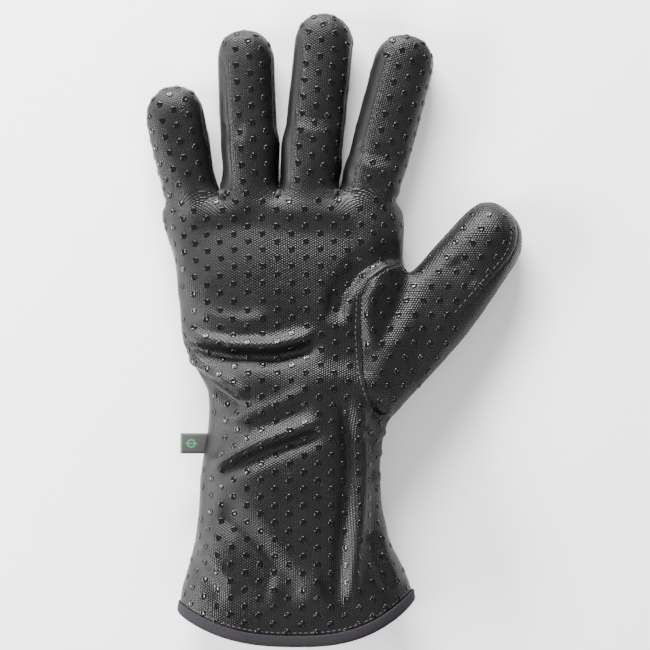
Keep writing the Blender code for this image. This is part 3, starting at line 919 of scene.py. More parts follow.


# %% [markdown]
# ## Materials
# The shell is near black with a semi-gloss coating: its colour hardly matters, and its
# roughness and bumps do all the work. The side strips are plain and duller. A seam is a
# groove: the seam attribute dents it and darkens its colour, as painted shade.

# %% Coated cloth
def cloth_material(name, dark, light, rough, weave_depth, pitch=0.00132, groove=1.0, gloss=0.22):
    cloth = bpy.data.materials.new(name)
    cloth.use_nodes = True
    tree = cloth.node_tree
    shader = tree.nodes["Principled BSDF"]
    layout = tree.nodes.new("ShaderNodeUVMap")
    layout.uv_map = "cloth"
    place = layout.outputs[0]
    around = tree.nodes.new("ShaderNodeTexCoord").outputs["Object"]
    net = place_group(tree, HEX_WEAVE, place, Pitch=pitch)
    patches = place_group(tree, HANDLED, around, Size=42.0)
    fine = place_group(tree, HANDLED, around, Size=900.0)
    seam = tree.nodes.new("ShaderNodeAttribute")
    seam.attribute_name = "seam"
    # 1 away from a seam, 0 in its groove, which is dented and gets painted shade
    clear = math_node(tree, "SMOOTH_MIN", math_node(tree, "DIVIDE", seam.outputs["Fac"], 0.0011), 1.0, 0.4)
    clear = math_node(tree, "MAXIMUM", clear, 1.0 - groove, clamp=True)
    # the colour is lighter on the tops of the weave's bumps, and more so in the handled patches
    lighter_tops = math_node(tree, "MULTIPLY", net, math_node(tree, "MULTIPLY_ADD", patches, 0.6, 0.4))
    colour = mix_colour(tree, lighter_tops, dark, light)
    # painted shade: in a seam's groove the colour falls to a quarter of the dark tone
    colour = mix_colour(tree, clear, tuple(c * 0.25 for c in dark), colour)
    tree.links.new(colour, shader.inputs["Base Color"])
    dull = math_node(tree, "MULTIPLY_ADD", patches, 0.12, rough)
    dull = math_node(tree, "MULTIPLY_ADD", fine, 0.08, dull)
    dull = math_node(tree, "MULTIPLY_ADD", net, -0.10, dull, clamp=True)
    tree.links.new(dull, shader.inputs["Roughness"])
    shader.inputs["Specular IOR Level"].default_value = gloss
    height = math_node(tree, "MULTIPLY_ADD", fine, 0.25, net)
    height = math_node(tree, "MULTIPLY_ADD", clear, 2.2, height)
    bump = tree.nodes.new("ShaderNodeBump")
    bump.inputs["Distance"].default_value = weave_depth
    tree.links.new(height, bump.inputs["Height"])
    tree.links.new(bump.outputs[0], shader.inputs["Normal"])
    return cloth


SHELL_CLOTH = cloth_material(
    "coated_shell", (0.0016, 0.0016, 0.0018), (0.0070, 0.0070, 0.0076), rough=0.30, weave_depth=0.00016)
STRIP_CLOTH = cloth_material(
    "side_strip", (0.0012, 0.0012, 0.0014), (0.0040, 0.0040, 0.0045), rough=0.45, weave_depth=0.00006)
LINING_CLOTH = cloth_material(
    "soft_lining", (0.020, 0.020, 0.022), (0.045, 0.045, 0.047), rough=0.85, weave_depth=0.00020,
    pitch=0.0024, groove=0.0)

# %% Sew the shell
SIDES = ("palm_side", "gusset", "back", "left_fourchette", "right_fourchette")
raw_panels = {}


def cad_node(region, side):
    """The frame's solid that a piece of cloth stands for."""
    if region == "hand":
        return {"palm_side": "palm_panel", "gusset": "thumb_palm_side_root", "back": "back_panel"}[side]
    if region == "cuff":
        return "cuff_" + side
    name, end = region.split("_")
    return f"{name}_{side}_{end}"


def shell_piece(region, side):
    chosen = (face_region == region) & (face_side == side)
    if not chosen.any():
        return
    node = cad_node(region, side)
    mesh = panel_mesh(node + "_cloth", chosen, region, side)
    raw_panels[(region, side)] = mesh.copy()
    piece = link(node + "_cloth", mesh)
    mesh.materials.append(STRIP_CLOTH if "fourchette" in side else SHELL_CLOTH)
    thicken(piece, THICKNESS)
    carry(piece, region)
    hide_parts(node)


REGIONS = ["hand", "cuff"] + [f"{name}_{end}" for name in digits for end in ("base", "tip")]
for region in REGIONS:
    for side in SIDES:
        shell_piece(region, side)
print(len(raw_panels), "pieces of shell cloth")


# %% Line it
LINING_INSET = 0.0022
LINING_THICKNESS = 0.0016
LINING_SHARE = 0.3  # of the skin's faces are enough for a surface that is hardly seen


def lining_piece(region):
    node = {"hand": "palm_lining", "cuff": "cuff_lining"}.get(region) or region.replace("_", "_lining_")
    mesh = panel_mesh(node + "_pad", face_region == region, region, inward=LINING_INSET)
    mesh.materials.append(LINING_CLOTH)
    mesh.attributes.remove(mesh.attributes["facing"])
    pad = link(node + "_pad", mesh)
    fewer = pad.modifiers.new("fewer", "DECIMATE")
    fewer.ratio = LINING_SHARE
    apply_modifiers(pad)
    thicken(pad, LINING_THICKNESS)
    carry(pad, region)
    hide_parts(node)


for region in REGIONS:
    lining_piece(region)

# %% [markdown]
# ## Grip dots
# Hundreds of cured dots sit on a hexagonal lattice printed on the flat cloth. Geometry Nodes
# lay the lattice out in the cloth's own UV space, look up where each place ended up on the
# curved panel, and stand a small dish-shaped dot there. Dots that would run into a seam are
# left out. The tree ends in Realize Instances, and the result becomes a plain mesh.

# %% Sizes of the dots
DOT_RADIUS = 0.00182
DOT_HEIGHT = 0.00042
DOT_PITCH = 0.00848  # along a column
DOT_COLUMNS = 0.00732  # from one column to the next
DOT_SEAM_ROOM = 0.0016
ROOT_LINE_ROOM = 0.0004  # taken off the room that a finger's root line needs
LABEL_ROOM = 0.0115
OFF_PANEL = 0.0001  # a place this far from the flat panel has missed it


# %% The dots' node tree
class Tree:
    """Short calls for building a geometry tree."""

    def __init__(self, name, inputs):
        self.tree = bpy.data.node_groups.new(name, "GeometryNodeTree")
        face = self.tree.interface
        face.new_socket("Geometry", in_out="INPUT", socket_type="NodeSocketGeometry")
        self.identifiers = {}
        for label, kind in inputs:
            self.identifiers[label] = face.new_socket(label, in_out="INPUT", socket_type=kind).identifier
        face.new_socket("Geometry", in_out="OUTPUT", socket_type="NodeSocketGeometry")
        self.given = self.tree.nodes.new("NodeGroupInput").outputs
        self.result = self.tree.nodes.new("NodeGroupOutput").inputs

    def node(self, kind, settings=None, **inputs):
        made = self.tree.nodes.new(kind)
        for label, value in (settings or {}).items():
            setattr(made, label, value)
        for label, value in inputs.items():
            self.feed(made.inputs[label.replace("_", " ")], value)
        return made

    def feed(self, socket, value):
        if isinstance(value, bpy.types.NodeSocket):
            self.tree.links.new(value, socket)
        else:
            socket.default_value = value

    def math(self, operation, *values):
        made = self.node("ShaderNodeMath", {"operation": operation})
        for socket, value in zip(made.inputs, values):
            self.feed(socket, value)
        return made.outputs[0]

    def stored(self, name, kind="FLOAT_VECTOR"):
        return self.node("GeometryNodeInputNamedAttribute", {"data_type": kind}, Name=name).outputs[0]

    def deliver(self, instances):
        """Turns instances into plain geometry with the given material."""
        real = self.node("GeometryNodeRealizeInstances", Geometry=instances)
        finished = self.node("GeometryNodeSetMaterial", Geometry=real.outputs[0])
        self.feed(finished.inputs["Material"], self.given["Finish"])
        self.feed(self.result["Geometry"], finished.outputs[0])

    def grow(self, thing, values):
        """Runs the tree on an object with named values, and leaves it a plain mesh."""
        growing = thing.modifiers.new("grow", "NODES")
        growing.node_group = self.tree
        for label, value in values.items():
            growing[self.identifiers[label]] = value
        apply_modifiers(thing)

    def join(self, x=0.0, y=0.0, z=0.0):
        return self.node("ShaderNodeCombineXYZ", X=x, Y=y, Z=z).outputs[0]


def dot_shape(tree, radius, height):
    """A dish-shaped dot: a raised rim round a hollow middle, its foot just inside the cloth."""
    cone = tree.node("GeometryNodeMeshCone", Vertices=12, Side_Segments=1, Fill_Segments=4)
    for label, value in (("Radius Top", radius), ("Radius Bottom", radius), ("Depth", height)):
        tree.feed(cone.inputs[label], value)
    place = tree.node("GeometryNodeInputPosition").outputs[0]
    split = tree.node("ShaderNodeSeparateXYZ", Vector=place).outputs
    flat = tree.join(split["X"], split["Y"], 0.0)
    far = tree.node("ShaderNodeVectorMath", {"operation": "LENGTH"})
    tree.feed(far.inputs[0], flat)
    share = tree.math("DIVIDE", far.outputs["Value"], radius)
    off_rim = tree.math("DIVIDE", tree.math("SUBTRACT", share, 0.70), 0.24)
    rim = tree.math("EXPONENT", tree.math("MULTIPLY", tree.math("MULTIPLY", off_rim, off_rim), -1.0))
    edge = tree.math("SUBTRACT", 1.0, tree.math("POWER", share, 9.0))
    rise = tree.math("MULTIPLY", tree.math("MULTIPLY_ADD", rim, 0.62, 0.38), edge)
    top = tree.math("MULTIPLY", rise, height)
    upper = tree.math("GREATER_THAN", split["Z"], tree.math("MULTIPLY", height, 0.5))
    foot = tree.math("MULTIPLY", tree.math("SUBTRACT", 1.0, upper), -0.00025)
    level = tree.math("ADD", tree.math("MULTIPLY", top, upper), foot)
    moved = tree.node("GeometryNodeSetPosition", Geometry=cone.outputs["Mesh"])
    tree.feed(moved.inputs["Position"], tree.join(split["X"], split["Y"], level))
    return tree.node("GeometryNodeSetShadeSmooth", Geometry=moved.outputs[0]).outputs[0]


def dots_tree():
    sizes = ("Dot Radius", "Dot Height", "Pitch", "Columns Apart", "Seam Room", "Low U", "Low V")
    counts = ("Columns", "Rows")
    inputs = [(label, "NodeSocketFloat") for label in sizes] + [(label, "NodeSocketInt") for label in counts]
    tree = Tree("grip_dots", inputs + [("Finish", "NodeSocketMaterial")])
    given = tree.given
    cloth = given["Geometry"]
    line = tree.node("GeometryNodeMeshLine", Count=tree.math("MULTIPLY", given["Columns"], given["Rows"]))
    number = tree.node("GeometryNodeInputIndex").outputs[0]
    column = tree.math("FLOOR", tree.math("DIVIDE", tree.math("ADD", number, 0.5), given["Rows"]))
    row = tree.math("SUBTRACT", number, tree.math("MULTIPLY", column, given["Rows"]))
    staggered = tree.math("MULTIPLY_ADD", tree.math("MODULO", column, 2.0), 0.5, row)
    u = tree.math("MULTIPLY_ADD", column, given["Columns Apart"], given["Low U"])
    v = tree.math("MULTIPLY_ADD", staggered, given["Pitch"], given["Low V"])
    layout, room = tree.stored("cloth"), tree.stored("seam", "FLOAT")
    flat = tree.join(u, v)

    # the panel laid flat: its points move to their places on the cloth
    flat_panel = tree.node("GeometryNodeSetPosition", Geometry=cloth)
    tree.feed(flat_panel.inputs["Position"], layout)

    def looked_up(kind, value):
        found = tree.node("GeometryNodeSampleNearestSurface", {"data_type": kind})
        live = {socket.name: socket for socket in found.inputs if socket.enabled}
        tree.feed(live["Mesh"], flat_panel.outputs[0])
        tree.feed(live["Value"], value)
        tree.feed(live["Sample Position"], flat)
        return next(socket for socket in found.outputs if socket.enabled)

    place = looked_up("FLOAT_VECTOR", tree.stored("place"))
    facing = looked_up("FLOAT_VECTOR", tree.stored("facing"))
    space = looked_up("FLOAT", room)
    nearest = looked_up("FLOAT_VECTOR", tree.node("GeometryNodeInputPosition").outputs[0])
    off_panel = tree.node("ShaderNodeVectorMath", {"operation": "DISTANCE"})
    tree.feed(off_panel.inputs[0], nearest)
    tree.feed(off_panel.inputs[1], flat)
    missed = tree.math("GREATER_THAN", off_panel.outputs["Value"], OFF_PANEL)
    points = tree.node("GeometryNodeMeshToPoints", Mesh=line.outputs[0]).outputs[0]

    def remember(geometry, kind, value):
        kept = tree.node("GeometryNodeCaptureAttribute", Geometry=geometry)
        kept.capture_items.new(kind, "Value")
        tree.feed(kept.inputs[1], value)
        return kept.outputs[0], kept.outputs[1]

    # looked up now: deleting points renumbers the ones that stay
    points, place = remember(points, "VECTOR", place)
    points, facing = remember(points, "VECTOR", facing)
    crowded = tree.math("LESS_THAN", space, given["Seam Room"])
    kept = tree.node("GeometryNodeDeleteGeometry", {"domain": "POINT"}, Geometry=points)
    tree.feed(kept.inputs["Selection"], tree.math("MAXIMUM", missed, crowded))
    placed = tree.node("GeometryNodeSetPosition", Geometry=kept.outputs[0])
    tree.feed(placed.inputs["Position"], place)
    turned = tree.node("FunctionNodeAlignRotationToVector", {"axis": "Z"})
    tree.feed(turned.inputs["Vector"], facing)
    shape = dot_shape(tree, given["Dot Radius"], given["Dot Height"])
    standing = tree.node("GeometryNodeInstanceOnPoints", Points=placed.outputs[0], Instance=shape)
    tree.feed(standing.inputs["Rotation"], turned.outputs[0])
    tree.deliver(standing.outputs[0])
    return tree


DOTS_TREE = dots_tree()


# %% Dot finish
def dot_material():
    """Glossy black cured rubber, a little scuffed on top."""
    rubber = bpy.data.materials.new("cured_dots")
    rubber.use_nodes = True
    tree = rubber.node_tree
    shader = tree.nodes["Principled BSDF"]
    around = tree.nodes.new("ShaderNodeTexCoord").outputs["Object"]
    scuffs = place_group(tree, HANDLED, around, Size=700.0)
    patches = place_group(tree, HANDLED, around, Size=60.0)
    black = mix_colour(tree, scuffs, (0.0010, 0.0010, 0.0012), (0.0030, 0.0030, 0.0034))
    tree.links.new(black, shader.inputs["Base Color"])
    rough = math_node(tree, "MULTIPLY_ADD", scuffs, 0.07, 0.10)
    rough = math_node(tree, "MULTIPLY_ADD", patches, 0.05, rough, clamp=True)
    tree.links.new(rough, shader.inputs["Roughness"])
    shader.inputs["Specular IOR Level"].default_value = 0.26
    return rubber


DOT_RUBBER = dot_material()


# %% Put dots on the palm side
def room_for_dots(panel, region):
    """How far each point of a panel is from anything that a dot must keep clear of."""
    room = np.empty(len(panel.vertices), dtype=np.float32)
    panel.attributes["seam"].data.foreach_get("value", room)
    places = coordinates(panel)
    if region == "cuff":
        # the label's place stays bare
        low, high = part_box("side_label")
        away = np.linalg.norm(places[:, :2] - np.array((high.x, (low.y + high.y) / 2)), axis=1)
        room = np.where(away < LABEL_ROOM, 0.0, room)
    if region == "hand" or region in [name + "_base" for name in FINGERS]:
        # the fingers' lattices start at their roots, so the dots keep clear of that line
        room = np.minimum(room, np.abs(places[:, 1] - KNUCKLE_Y) + ROOT_LINE_ROOM)
    return room.astype(np.float32)


def dots_on(region, side):
    panel = raw_panels[(region, side)]
    layout = np.empty(len(panel.loops) * 2, dtype=np.float32)
    panel.uv_layers["cloth"].data.foreach_get("uv", layout)
    layout = layout.reshape(-1, 2)
    low, high = layout.min(axis=0), layout.max(axis=0)
    # every lattice starts on a whole number of pairs of columns, so it carries on across a cut
    pair = 2 * DOT_COLUMNS
    shift = DOT_SHIFT.get(region.split("_")[0], 0.0) if side == "palm_side" else 0.0
    low_u = math.floor(low[0] / pair) * pair - pair + shift
    low_v = math.floor(low[1] / DOT_PITCH) * DOT_PITCH - DOT_PITCH
    carrier = link(cad_node(region, side) + "_dots", panel.copy())
    keep_vectors(carrier.data, "place", coordinates(panel))
    carrier.data.attributes["seam"].data.foreach_set("value", room_for_dots(panel, region))
    DOTS_TREE.grow(carrier, {
        "Dot Radius": DOT_RADIUS,
        "Dot Height": DOT_HEIGHT,
        "Pitch": DOT_PITCH,
        "Columns Apart": DOT_COLUMNS,
        "Seam Room": DOT_SEAM_ROOM,
        "Low U": float(low_u),
        "Low V": float(low_v),
        "Columns": int((high[0] - low_u) / DOT_COLUMNS) + 2,
        "Rows": int((high[1] - low_v) / DOT_PITCH) + 2,
        "Finish": DOT_RUBBER,
    })
    count = len(carrier.data.polygons)
    if not count:
        bpy.data.objects.remove(carrier)
        return 0
    carry(carrier, region)
    return count


DOT_SHIFT = {"little": DOT_COLUMNS / 2, "ring": DOT_COLUMNS / 2, "index": DOT_COLUMNS / 2}
total = sum(dots_on(region, side) for region, side in raw_panels if side in ("palm_side", "gusset"))
print("faces on all dots", total)

# %% [markdown]
# ## Bind the hem
# A folded tape wraps the cut edge of the shell and the lining. It follows the edge of the
# finished skin, so it wanders with every buckle, and its ribbed matte weave sets it apart
# from the coated cloth.

# %% The hem's edge, in order
HEM_STATIONS = 300


def in_order(rim):
    """The points of a closed run of edges, one after the other."""
    beside = {}
    for edge in rim:
        for point in edge.verts:
            beside.setdefault(point, []).append(edge.other_vert(point))
    start = min(beside, key=lambda point: point.co.x)
    chain = [start, beside[start][0]]
    while chain[-1] is not start:
        first, second = beside[chain[-1]]
        chain.append(second if first is chain[-2] else first)
    return chain[:-1]


def hem_edge():
    """(places, outward directions, distance round) at even steps round the cut edge of the cuff."""
    body = bmesh.new()
    body.from_mesh(skin.data)
    chain = in_order([edge for edge in body.edges if edge.is_boundary])
    places = np.array([tuple(point.co) for point in chain])
    outward = np.array([tuple(point.normal) for point in chain])
    body.free()
    closed = np.concatenate((places, places[:1]))
    done = np.concatenate(((0.0,), np.cumsum(np.linalg.norm(np.diff(closed, axis=0), axis=1))))
    wanted = np.linspace(0.0, done[-1], HEM_STATIONS, endpoint=False)
    turned = np.concatenate((outward, outward[:1]))
    places = np.stack([np.interp(wanted, done, closed[:, axis]) for axis in range(3)], axis=1)
    outward = np.stack([np.interp(wanted, done, turned[:, axis]) for axis in range(3)], axis=1)
    for _ in range(3):
        places = (np.roll(places, 1, axis=0) + 2 * places + np.roll(places, -1, axis=0)) / 4
        outward = (np.roll(outward, 1, axis=0) + outward + np.roll(outward, -1, axis=0)) / 3
    outward /= np.linalg.norm(outward, axis=1, keepdims=True)
    return places, outward, done[-1]


hem_places, hem_outward, hem_round = hem_edge()
hem_tangent = np.roll(hem_places, -1, axis=0) - np.roll(hem_places, 1, axis=0)
hem_down = np.cross(hem_tangent, hem_outward)
hem_down /= np.linalg.norm(hem_down, axis=1, keepdims=True)
hem_down *= -np.sign(hem_down[:, 1].mean())
print("the hem is", round(hem_round * 1000, 1), "mm round")

# %% Sweep the tape round it
# its section, as (outward, down) in millimetres, from the outer edge round the hem to the inner edge
TAPE = np.array((
    (0.25, -4.7), (0.75, -4.75), (1.00, -4.4), (1.10, -3.4), (1.20, -2.0), (1.25, -0.6), (1.05, 0.5),
    (0.45, 1.2), (-0.6, 1.5), (-2.0, 1.5), (-3.3, 1.0), (-4.1, 0.0), (-4.5, -1.6), (-4.6, -3.4),
    (-4.5, -4.6), (-4.1, -4.7),
    (-3.9, -3.4), (-3.6, -1.0), (-2.6, 0.2), (-1.0, 0.4), (0.15, -0.4), (0.25, -2.4),
)) * MM


def swept_tape():
    around = len(TAPE)
    places = hem_places[:, None] + hem_outward[:, None] * TAPE[None, :, :1]
    places = (places + hem_down[:, None] * TAPE[None, :, 1:]).reshape(-1, 3)
    places[:, 2] = np.maximum(places[:, 2], 0.0)
    sides = np.linalg.norm(np.diff(np.vstack((TAPE, TAPE[:1])), axis=0), axis=1)
    across = np.concatenate(((0.0,), np.cumsum(sides)))
    faces, layout = [], []
    for i in range(HEM_STATIONS):
        following = (i + 1) % HEM_STATIONS
        low, high = (hem_round * station / HEM_STATIONS for station in (i, i + 1))
        for j in range(around):
            k = (j + 1) % around
            faces.append((i * around + j, i * around + k, following * around + k, following * around + j))
            layout += [(low, across[j]), (low, across[j + 1]), (high, across[j + 1]), (high, across[j])]
    mesh = bpy.data.meshes.new("hem_tape")
    mesh.from_pydata(places.tolist(), [], faces)
    mesh.uv_layers.new(name="cloth")
    mesh.uv_layers["cloth"].data.foreach_set("uv", np.array(layout, dtype=np.float32).ravel())
    tape = bmesh.new()
    tape.from_mesh(mesh)
    bmesh.ops.recalc_face_normals(tape, faces=tape.faces)
    tape.to_mesh(mesh)
    tape.free()
    mesh.shade_smooth()
    return mesh


TAPE_CLOTH = cloth_material(
    "ribbed_tape", (0.011, 0.009, 0.012), (0.034, 0.029, 0.036), rough=0.80, weave_depth=0.00014,
    pitch=0.00085, groove=0.0)
tape = link("hem_tape", swept_tape())
tape.data.materials.append(TAPE_CLOTH)
carry(tape, "cuff")
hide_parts("hem_binding")

# %% [markdown]
# ## Side label
# A short woven ribbon is folded in half and caught in the cuff's side seam. It carries a
# plain green ring with a bar and no words, because a label here only needs to read as a label.

# %% Fold the ribbon
LABEL_WIDTH = 0.0106
LABEL_FOLD = 0.00060  # radius of the fold
LABEL_THICKNESS = 0.00036


def label_path(inner, outer, middle):
    """(x, z) along the ribbon, from the seam out to its fold and back."""
    straight = np.linspace(0.0, 1.0, 12)
    bend = np.linspace(math.pi / 2, 3 * math.pi / 2, 9)[1:-1]
    out = [(inner + (outer - inner) * t, middle + LABEL_FOLD + 0.0004 * math.sin(3.0 * t)) for t in straight]
    turn = [(outer + LABEL_FOLD * math.cos(a), middle + LABEL_FOLD * math.sin(a)) for a in bend]
    back = [(outer + (inner - outer) * t, middle - LABEL_FOLD) for t in straight]
    return np.array(out + turn + back)


def label_ribbon():
    low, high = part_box("side_label")
    middle_y, middle_z = (low.y + high.y) / 2, (low.z + high.z) / 2
    left_edge = skin_points[(np.abs(skin_points[:, 1] - middle_y) < 0.004)][:, 0].min()
    path = label_path(left_edge + 0.0026, low.x + LABEL_FOLD, middle_z)
    along = np.concatenate(((0.0,), np.cumsum(np.linalg.norm(np.diff(path, axis=0), axis=1))))
    rows = np.linspace(-0.5, 0.5, 9)
    sag = 0.0005 * np.cos(rows * 2.4) * np.ones((len(path), 1))
    places = [(x, middle_y + row * LABEL_WIDTH, z + dip)
              for (x, z), dips in zip(path, sag) for row, dip in zip(rows, dips)]
    wide = len(rows)
    faces = [(i * wide + j, i * wide + j + 1, (i + 1) * wide + j + 1, (i + 1) * wide + j)
             for i in range(len(path) - 1) for j in range(wide - 1)]
    mesh = bpy.data.meshes.new("side_label_ribbon")
    mesh.from_pydata(places, [], faces)
    place = np.array([(s, (row + 0.5) * LABEL_WIDTH) for s in along for row in rows])
    corner = np.empty(len(mesh.loops), dtype=np.int32)
    mesh.loops.foreach_get("vertex_index", corner)
    mesh.uv_layers.new(name="cloth")
    mesh.uv_layers["cloth"].data.foreach_set("uv", place[corner].astype(np.float32).ravel())
    mesh.shade_smooth()
    ribbon = link("side_label_ribbon", mesh)
    wall = ribbon.modifiers.new("wall", "SOLIDIFY")
    wall.thickness = LABEL_THICKNESS
    wall.offset = 0.0
    apply_modifiers(ribbon)
    body = bmesh.new()
    body.from_mesh(ribbon.data)
    bmesh.ops.recalc_face_normals(body, faces=body.faces)
    body.to_mesh(ribbon.data)
    body.free()
    return ribbon, float(along[-1])


def label_material(length):
    woven = bpy.data.materials.new("woven_label")
    woven.use_nodes = True
    tree = woven.node_tree
    shader = tree.nodes["Principled BSDF"]
    layout = tree.nodes.new("ShaderNodeUVMap")
    layout.uv_map = "cloth"
    split = tree.nodes.new("ShaderNodeSeparateXYZ")
    tree.links.new(layout.outputs[0], split.inputs[0])
    along, across = split.outputs["X"], split.outputs["Y"]

    def near(value, centre, half):
        away = math_node(tree, "ABSOLUTE", math_node(tree, "SUBTRACT", value, centre))
        return math_node(tree, "LESS_THAN", away, half)

    fold = near(along, length / 2, 0.0011)
    sideways = math_node(tree, "SUBTRACT", along, length * 0.30)
    upwards = math_node(tree, "SUBTRACT", across, LABEL_WIDTH * 0.5)
    squares = [math_node(tree, "POWER", value, 2.0) for value in (sideways, upwards)]
    squares = math_node(tree, "ADD", *squares)
    ring = near(math_node(tree, "SQRT", squares), 0.0019, 0.00034)
    bar = [near(along, length * 0.30, 0.0030), near(across, LABEL_WIDTH * 0.5, 0.00030)]
    bar = math_node(tree, "MULTIPLY", *bar)
    green = math_node(tree, "MAXIMUM", math_node(tree, "MAXIMUM", ring, bar), fold)
    threads = place_group(tree, HEX_WEAVE, layout.outputs[0], Pitch=0.00042)
    ground = mix_colour(tree, threads, (0.010, 0.011, 0.011), (0.030, 0.032, 0.031))
    tree.links.new(mix_colour(tree, green, ground, (0.010, 0.17, 0.055)), shader.inputs["Base Color"])
    shader.inputs["Roughness"].default_value = 0.62
    bump = tree.nodes.new("ShaderNodeBump")
    bump.inputs["Distance"].default_value = 0.00006
    tree.links.new(threads, bump.inputs["Height"])
    tree.links.new(bump.outputs[0], shader.inputs["Normal"])
    return woven


ribbon, ribbon_length = label_ribbon()
ribbon.data.materials.append(label_material(ribbon_length))
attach(ribbon, "label")
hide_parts("side_label")
print("label ribbon", round(ribbon_length * 1000, 1), "mm long when flat")

# %% [markdown]
# ## Stitches
# Short round stitches run beside the seams that take the load: round the ball and edge of
# the thumb, along the fingers' side strips and above the hem's tape. Each run is a chain of
# points laid on the skin, and one tree turns every run into even stitches.

# %% The stitches' node tree
def stitch_tree():
    inputs = [(label, "NodeSocketFloat") for label in ("Stitch Length", "Pitch")]
    tree = Tree("seam_stitches", inputs + [("Finish", "NodeSocketMaterial")])
    given = tree.given
    curve = tree.node("GeometryNodeMeshToCurve", Mesh=given["Geometry"]).outputs[0]
    even = tree.node("GeometryNodeResampleCurve", Curve=curve)
    by_length = next((socket for socket in even.inputs if socket.name == "Mode"), None)
    if by_length is None:
        even.mode = "LENGTH"
    else:
        by_length.default_value = "Length"
    tree.feed(even.inputs["Length"], given["Pitch"])
    thread = tree.node("GeometryNodeMeshUVSphere", Segments=8, Rings=6, Radius=0.5)
    size = tree.join(given["Stitch Length"], 0.00052, 0.00042)
    stitch = tree.node("GeometryNodeTransform", Geometry=thread.outputs[0], Scale=size)
    stitch = tree.node("GeometryNodeSetShadeSmooth", Geometry=stitch.outputs[0])
    turned = tree.node("FunctionNodeAlignRotationToVector", {"axis": "X"})
    tree.feed(turned.inputs["Vector"], tree.node("GeometryNodeInputTangent").outputs[0])
    placed = tree.node("GeometryNodeInstanceOnPoints", Points=even.outputs[0], Instance=stitch.outputs[0])
    tree.feed(placed.inputs["Rotation"], turned.outputs[0])
    tree.deliver(placed.outputs[0])
    return tree


STITCHES = stitch_tree()


def thread_material():
    thread = bpy.data.materials.new("sewing_thread")
    thread.use_nodes = True
    tree = thread.node_tree
    shader = tree.nodes["Principled BSDF"]
    around = tree.nodes.new("ShaderNodeTexCoord").outputs["Object"]
    fuzz = place_group(tree, HANDLED, around, Size=1500.0)
    spun = mix_colour(tree, fuzz, (0.010, 0.010, 0.011), (0.040, 0.040, 0.042))
    tree.links.new(spun, shader.inputs["Base Color"])
    shader.inputs["Roughness"].default_value = 0.55
    return thread


THREAD = thread_material()

# %% Lay the runs on the skin
skin_tree = BVHTree.FromPolygons(skin_points.tolist(), face_points)
THREAD_LIFT = 0.00005
STITCH_LENGTH = 0.0022
STITCH_PITCH = 0.0029
SEAM_SIDE = 0.0010  # how far a run lies beside its seam on a finger
THUMB_SIDE = 0.0012
GUSSET_SIDE = 0.0013
TAPE_CLEAR = 0.0060  # from the hem's edge up to the run above its tape


def from_above(plan):
    """Places on top of the skin for points in plan; the ones that miss it are dropped."""
    laid = []
    for x, y in plan:
        hit, facing, _, _ = skin_tree.ray_cast(Vector((x, y, 0.08)), Vector((0, 0, -1)))
        if hit is not None:
            laid.append(tuple(hit + facing * THREAD_LIFT))
    return laid


def stitched(name, laid, region, closed=False):
    if len(laid) < 3:
        return
    mesh = bpy.data.meshes.new(name)
    edges = [(i, i + 1) for i in range(len(laid) - 1)] + ([(len(laid) - 1, 0)] if closed else [])
    mesh.from_pydata(laid, edges, [])
    run = link(name, mesh)
    STITCHES.grow(run, {"Stitch Length": STITCH_LENGTH, "Pitch": STITCH_PITCH, "Finish": THREAD})
    carry(run, region)


def seam_across(digit, along):
    """How far across a digit its stitches lie, at places along it."""
    if digit.name == "thumb":
        return thumb_limit(digit, along) - THUMB_SIDE
    return np.full(len(along), digit.half * math.cos(math.radians(LEFT_STRIP[0])) + SEAM_SIDE)


def digit_run(digit, region, low, high):
    along = np.linspace(low, high, 60)
    plan = digit.start[None, :2] + np.outer(along, digit.forward[:2])
    plan = plan + np.outer(seam_across(digit, along), digit.across[:2])
    stitched(f"{region}_stitches", from_above(plan), region)


for name in (*HAS_LEFT_STRIP, "thumb"):
    digit = digits[name]
    split = digit.to_middle * BASE_SHARE
    end = digit.length - digit.end * (0.25 if name == "thumb" else 1.3)
    digit_run(digit, name + "_base", 0.0015, split - 0.0008)
    digit_run(digit, name + "_tip", split + 0.0008, end)
seam_plan = GUSSET_SEAM * MM
rows = np.linspace(-0.0605, 0.0090, 80)
beside_gusset = [(np.interp(y, seam_plan[:, 1], seam_plan[:, 0]) - GUSSET_SIDE, y) for y in rows]
stitched("gusset_stitches", from_above(beside_gusset), "hand")
laid = []
for point in hem_places - hem_down * TAPE_CLEAR:
    hit, facing, _, _ = skin_tree.find_nearest(Vector(point))
    laid.append(tuple(hit + facing * THREAD_LIFT))
stitched("hem_stitches", laid, "cuff", closed=True)

# %% [markdown]
# ## Clear the construction skin
# Every piece is its own mesh now, so the skin that they were cut from goes.

# %% Remove the skin
bpy.data.objects.remove(skin)
for mesh in raw_panels.values():
    bpy.data.meshes.remove(mesh)

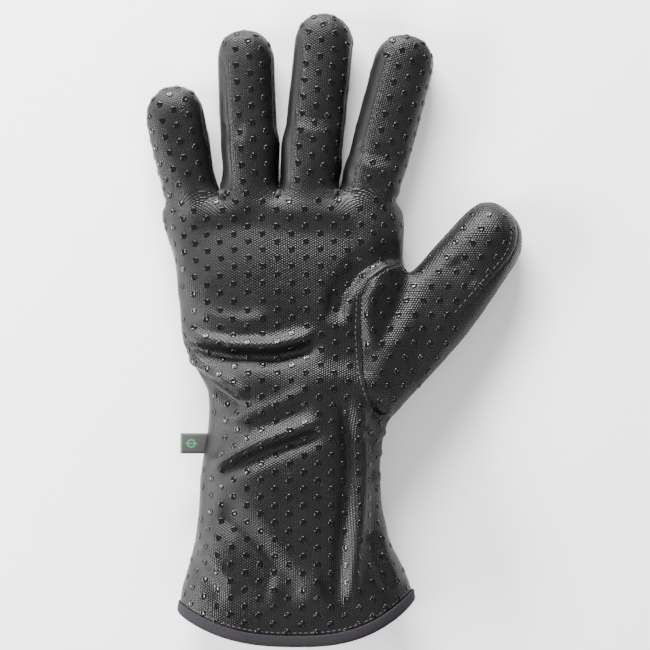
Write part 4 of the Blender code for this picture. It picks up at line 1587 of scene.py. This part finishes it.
# %% [markdown]
# ## Floor, light and camera
# A plain pale floor takes a soft shadow. The dark cloth shows its folds only where a light
# glances off them, so two soft lights stand low, one beyond the fingertips and one on the
# left. An even white surround keeps the floor pale, and a weak fill lifts the cuff.

# %% Floor
def floor():
    mesh = bpy.data.meshes.new("floor")
    reach = 3.0
    corners = [(-reach, -reach, 0), (reach, -reach, 0), (reach, reach, 0), (-reach, reach, 0)]
    mesh.from_pydata(corners, [], [(0, 1, 2, 3)])
    plane = link("floor", mesh)
    plane.location.z = -0.0002
    paint = bpy.data.materials.new("floor_paint")
    paint.use_nodes = True
    shader = paint.node_tree.nodes["Principled BSDF"]
    shader.inputs["Base Color"].default_value = (0.97, 0.97, 0.97, 1.0)
    shader.inputs["Roughness"].default_value = 0.9
    mesh.materials.append(paint)


floor()


# %% Lights
def area_light(name, place, target, width, height, watts):
    lamp = bpy.data.lights.new(name, "AREA")
    lamp.shape = "RECTANGLE"
    lamp.size, lamp.size_y = width, height
    lamp.energy = watts
    thing = bpy.data.objects.new(name, lamp)
    bpy.context.scene.collection.objects.link(thing)
    thing.location = place
    thing.rotation_euler = (Vector(target) - Vector(place)).to_track_quat("-Z", "Y").to_euler()
    return thing


area_light("key", (-0.25, 1.15, 0.55), (0, 0, 0), 0.9, 0.22, 84.0)
area_light("side", (-1.05, -0.15, 0.50), (0, -0.05, 0), 0.9, 0.22, 44.0)
area_light("fill", (0.5, -0.9, 1.1), (0, 0, 0), 1.0, 0.6, 11.0)
world = bpy.data.worlds.new("studio")
world.use_nodes = True
world.node_tree.nodes["Background"].inputs["Color"].default_value = (1.0, 1.0, 1.0, 1.0)
world.node_tree.nodes["Background"].inputs["Strength"].default_value = 0.60
bpy.context.scene.world = world


# %% Camera
def camera():
    lens = bpy.data.cameras.new("camera")
    lens.lens = 120.0
    lens.sensor_width = 36.0
    thing = bpy.data.objects.new("camera", lens)
    bpy.context.scene.collection.objects.link(thing)
    view_width = 0.342
    distance = view_width * lens.lens / lens.sensor_width
    middle_height = 0.012
    thing.location = (0.0184, -0.0132, middle_height + distance)
    lens.clip_end = 10.0
    bpy.context.scene.camera = thing
    print("camera height", round(thing.location.z, 3))


camera()
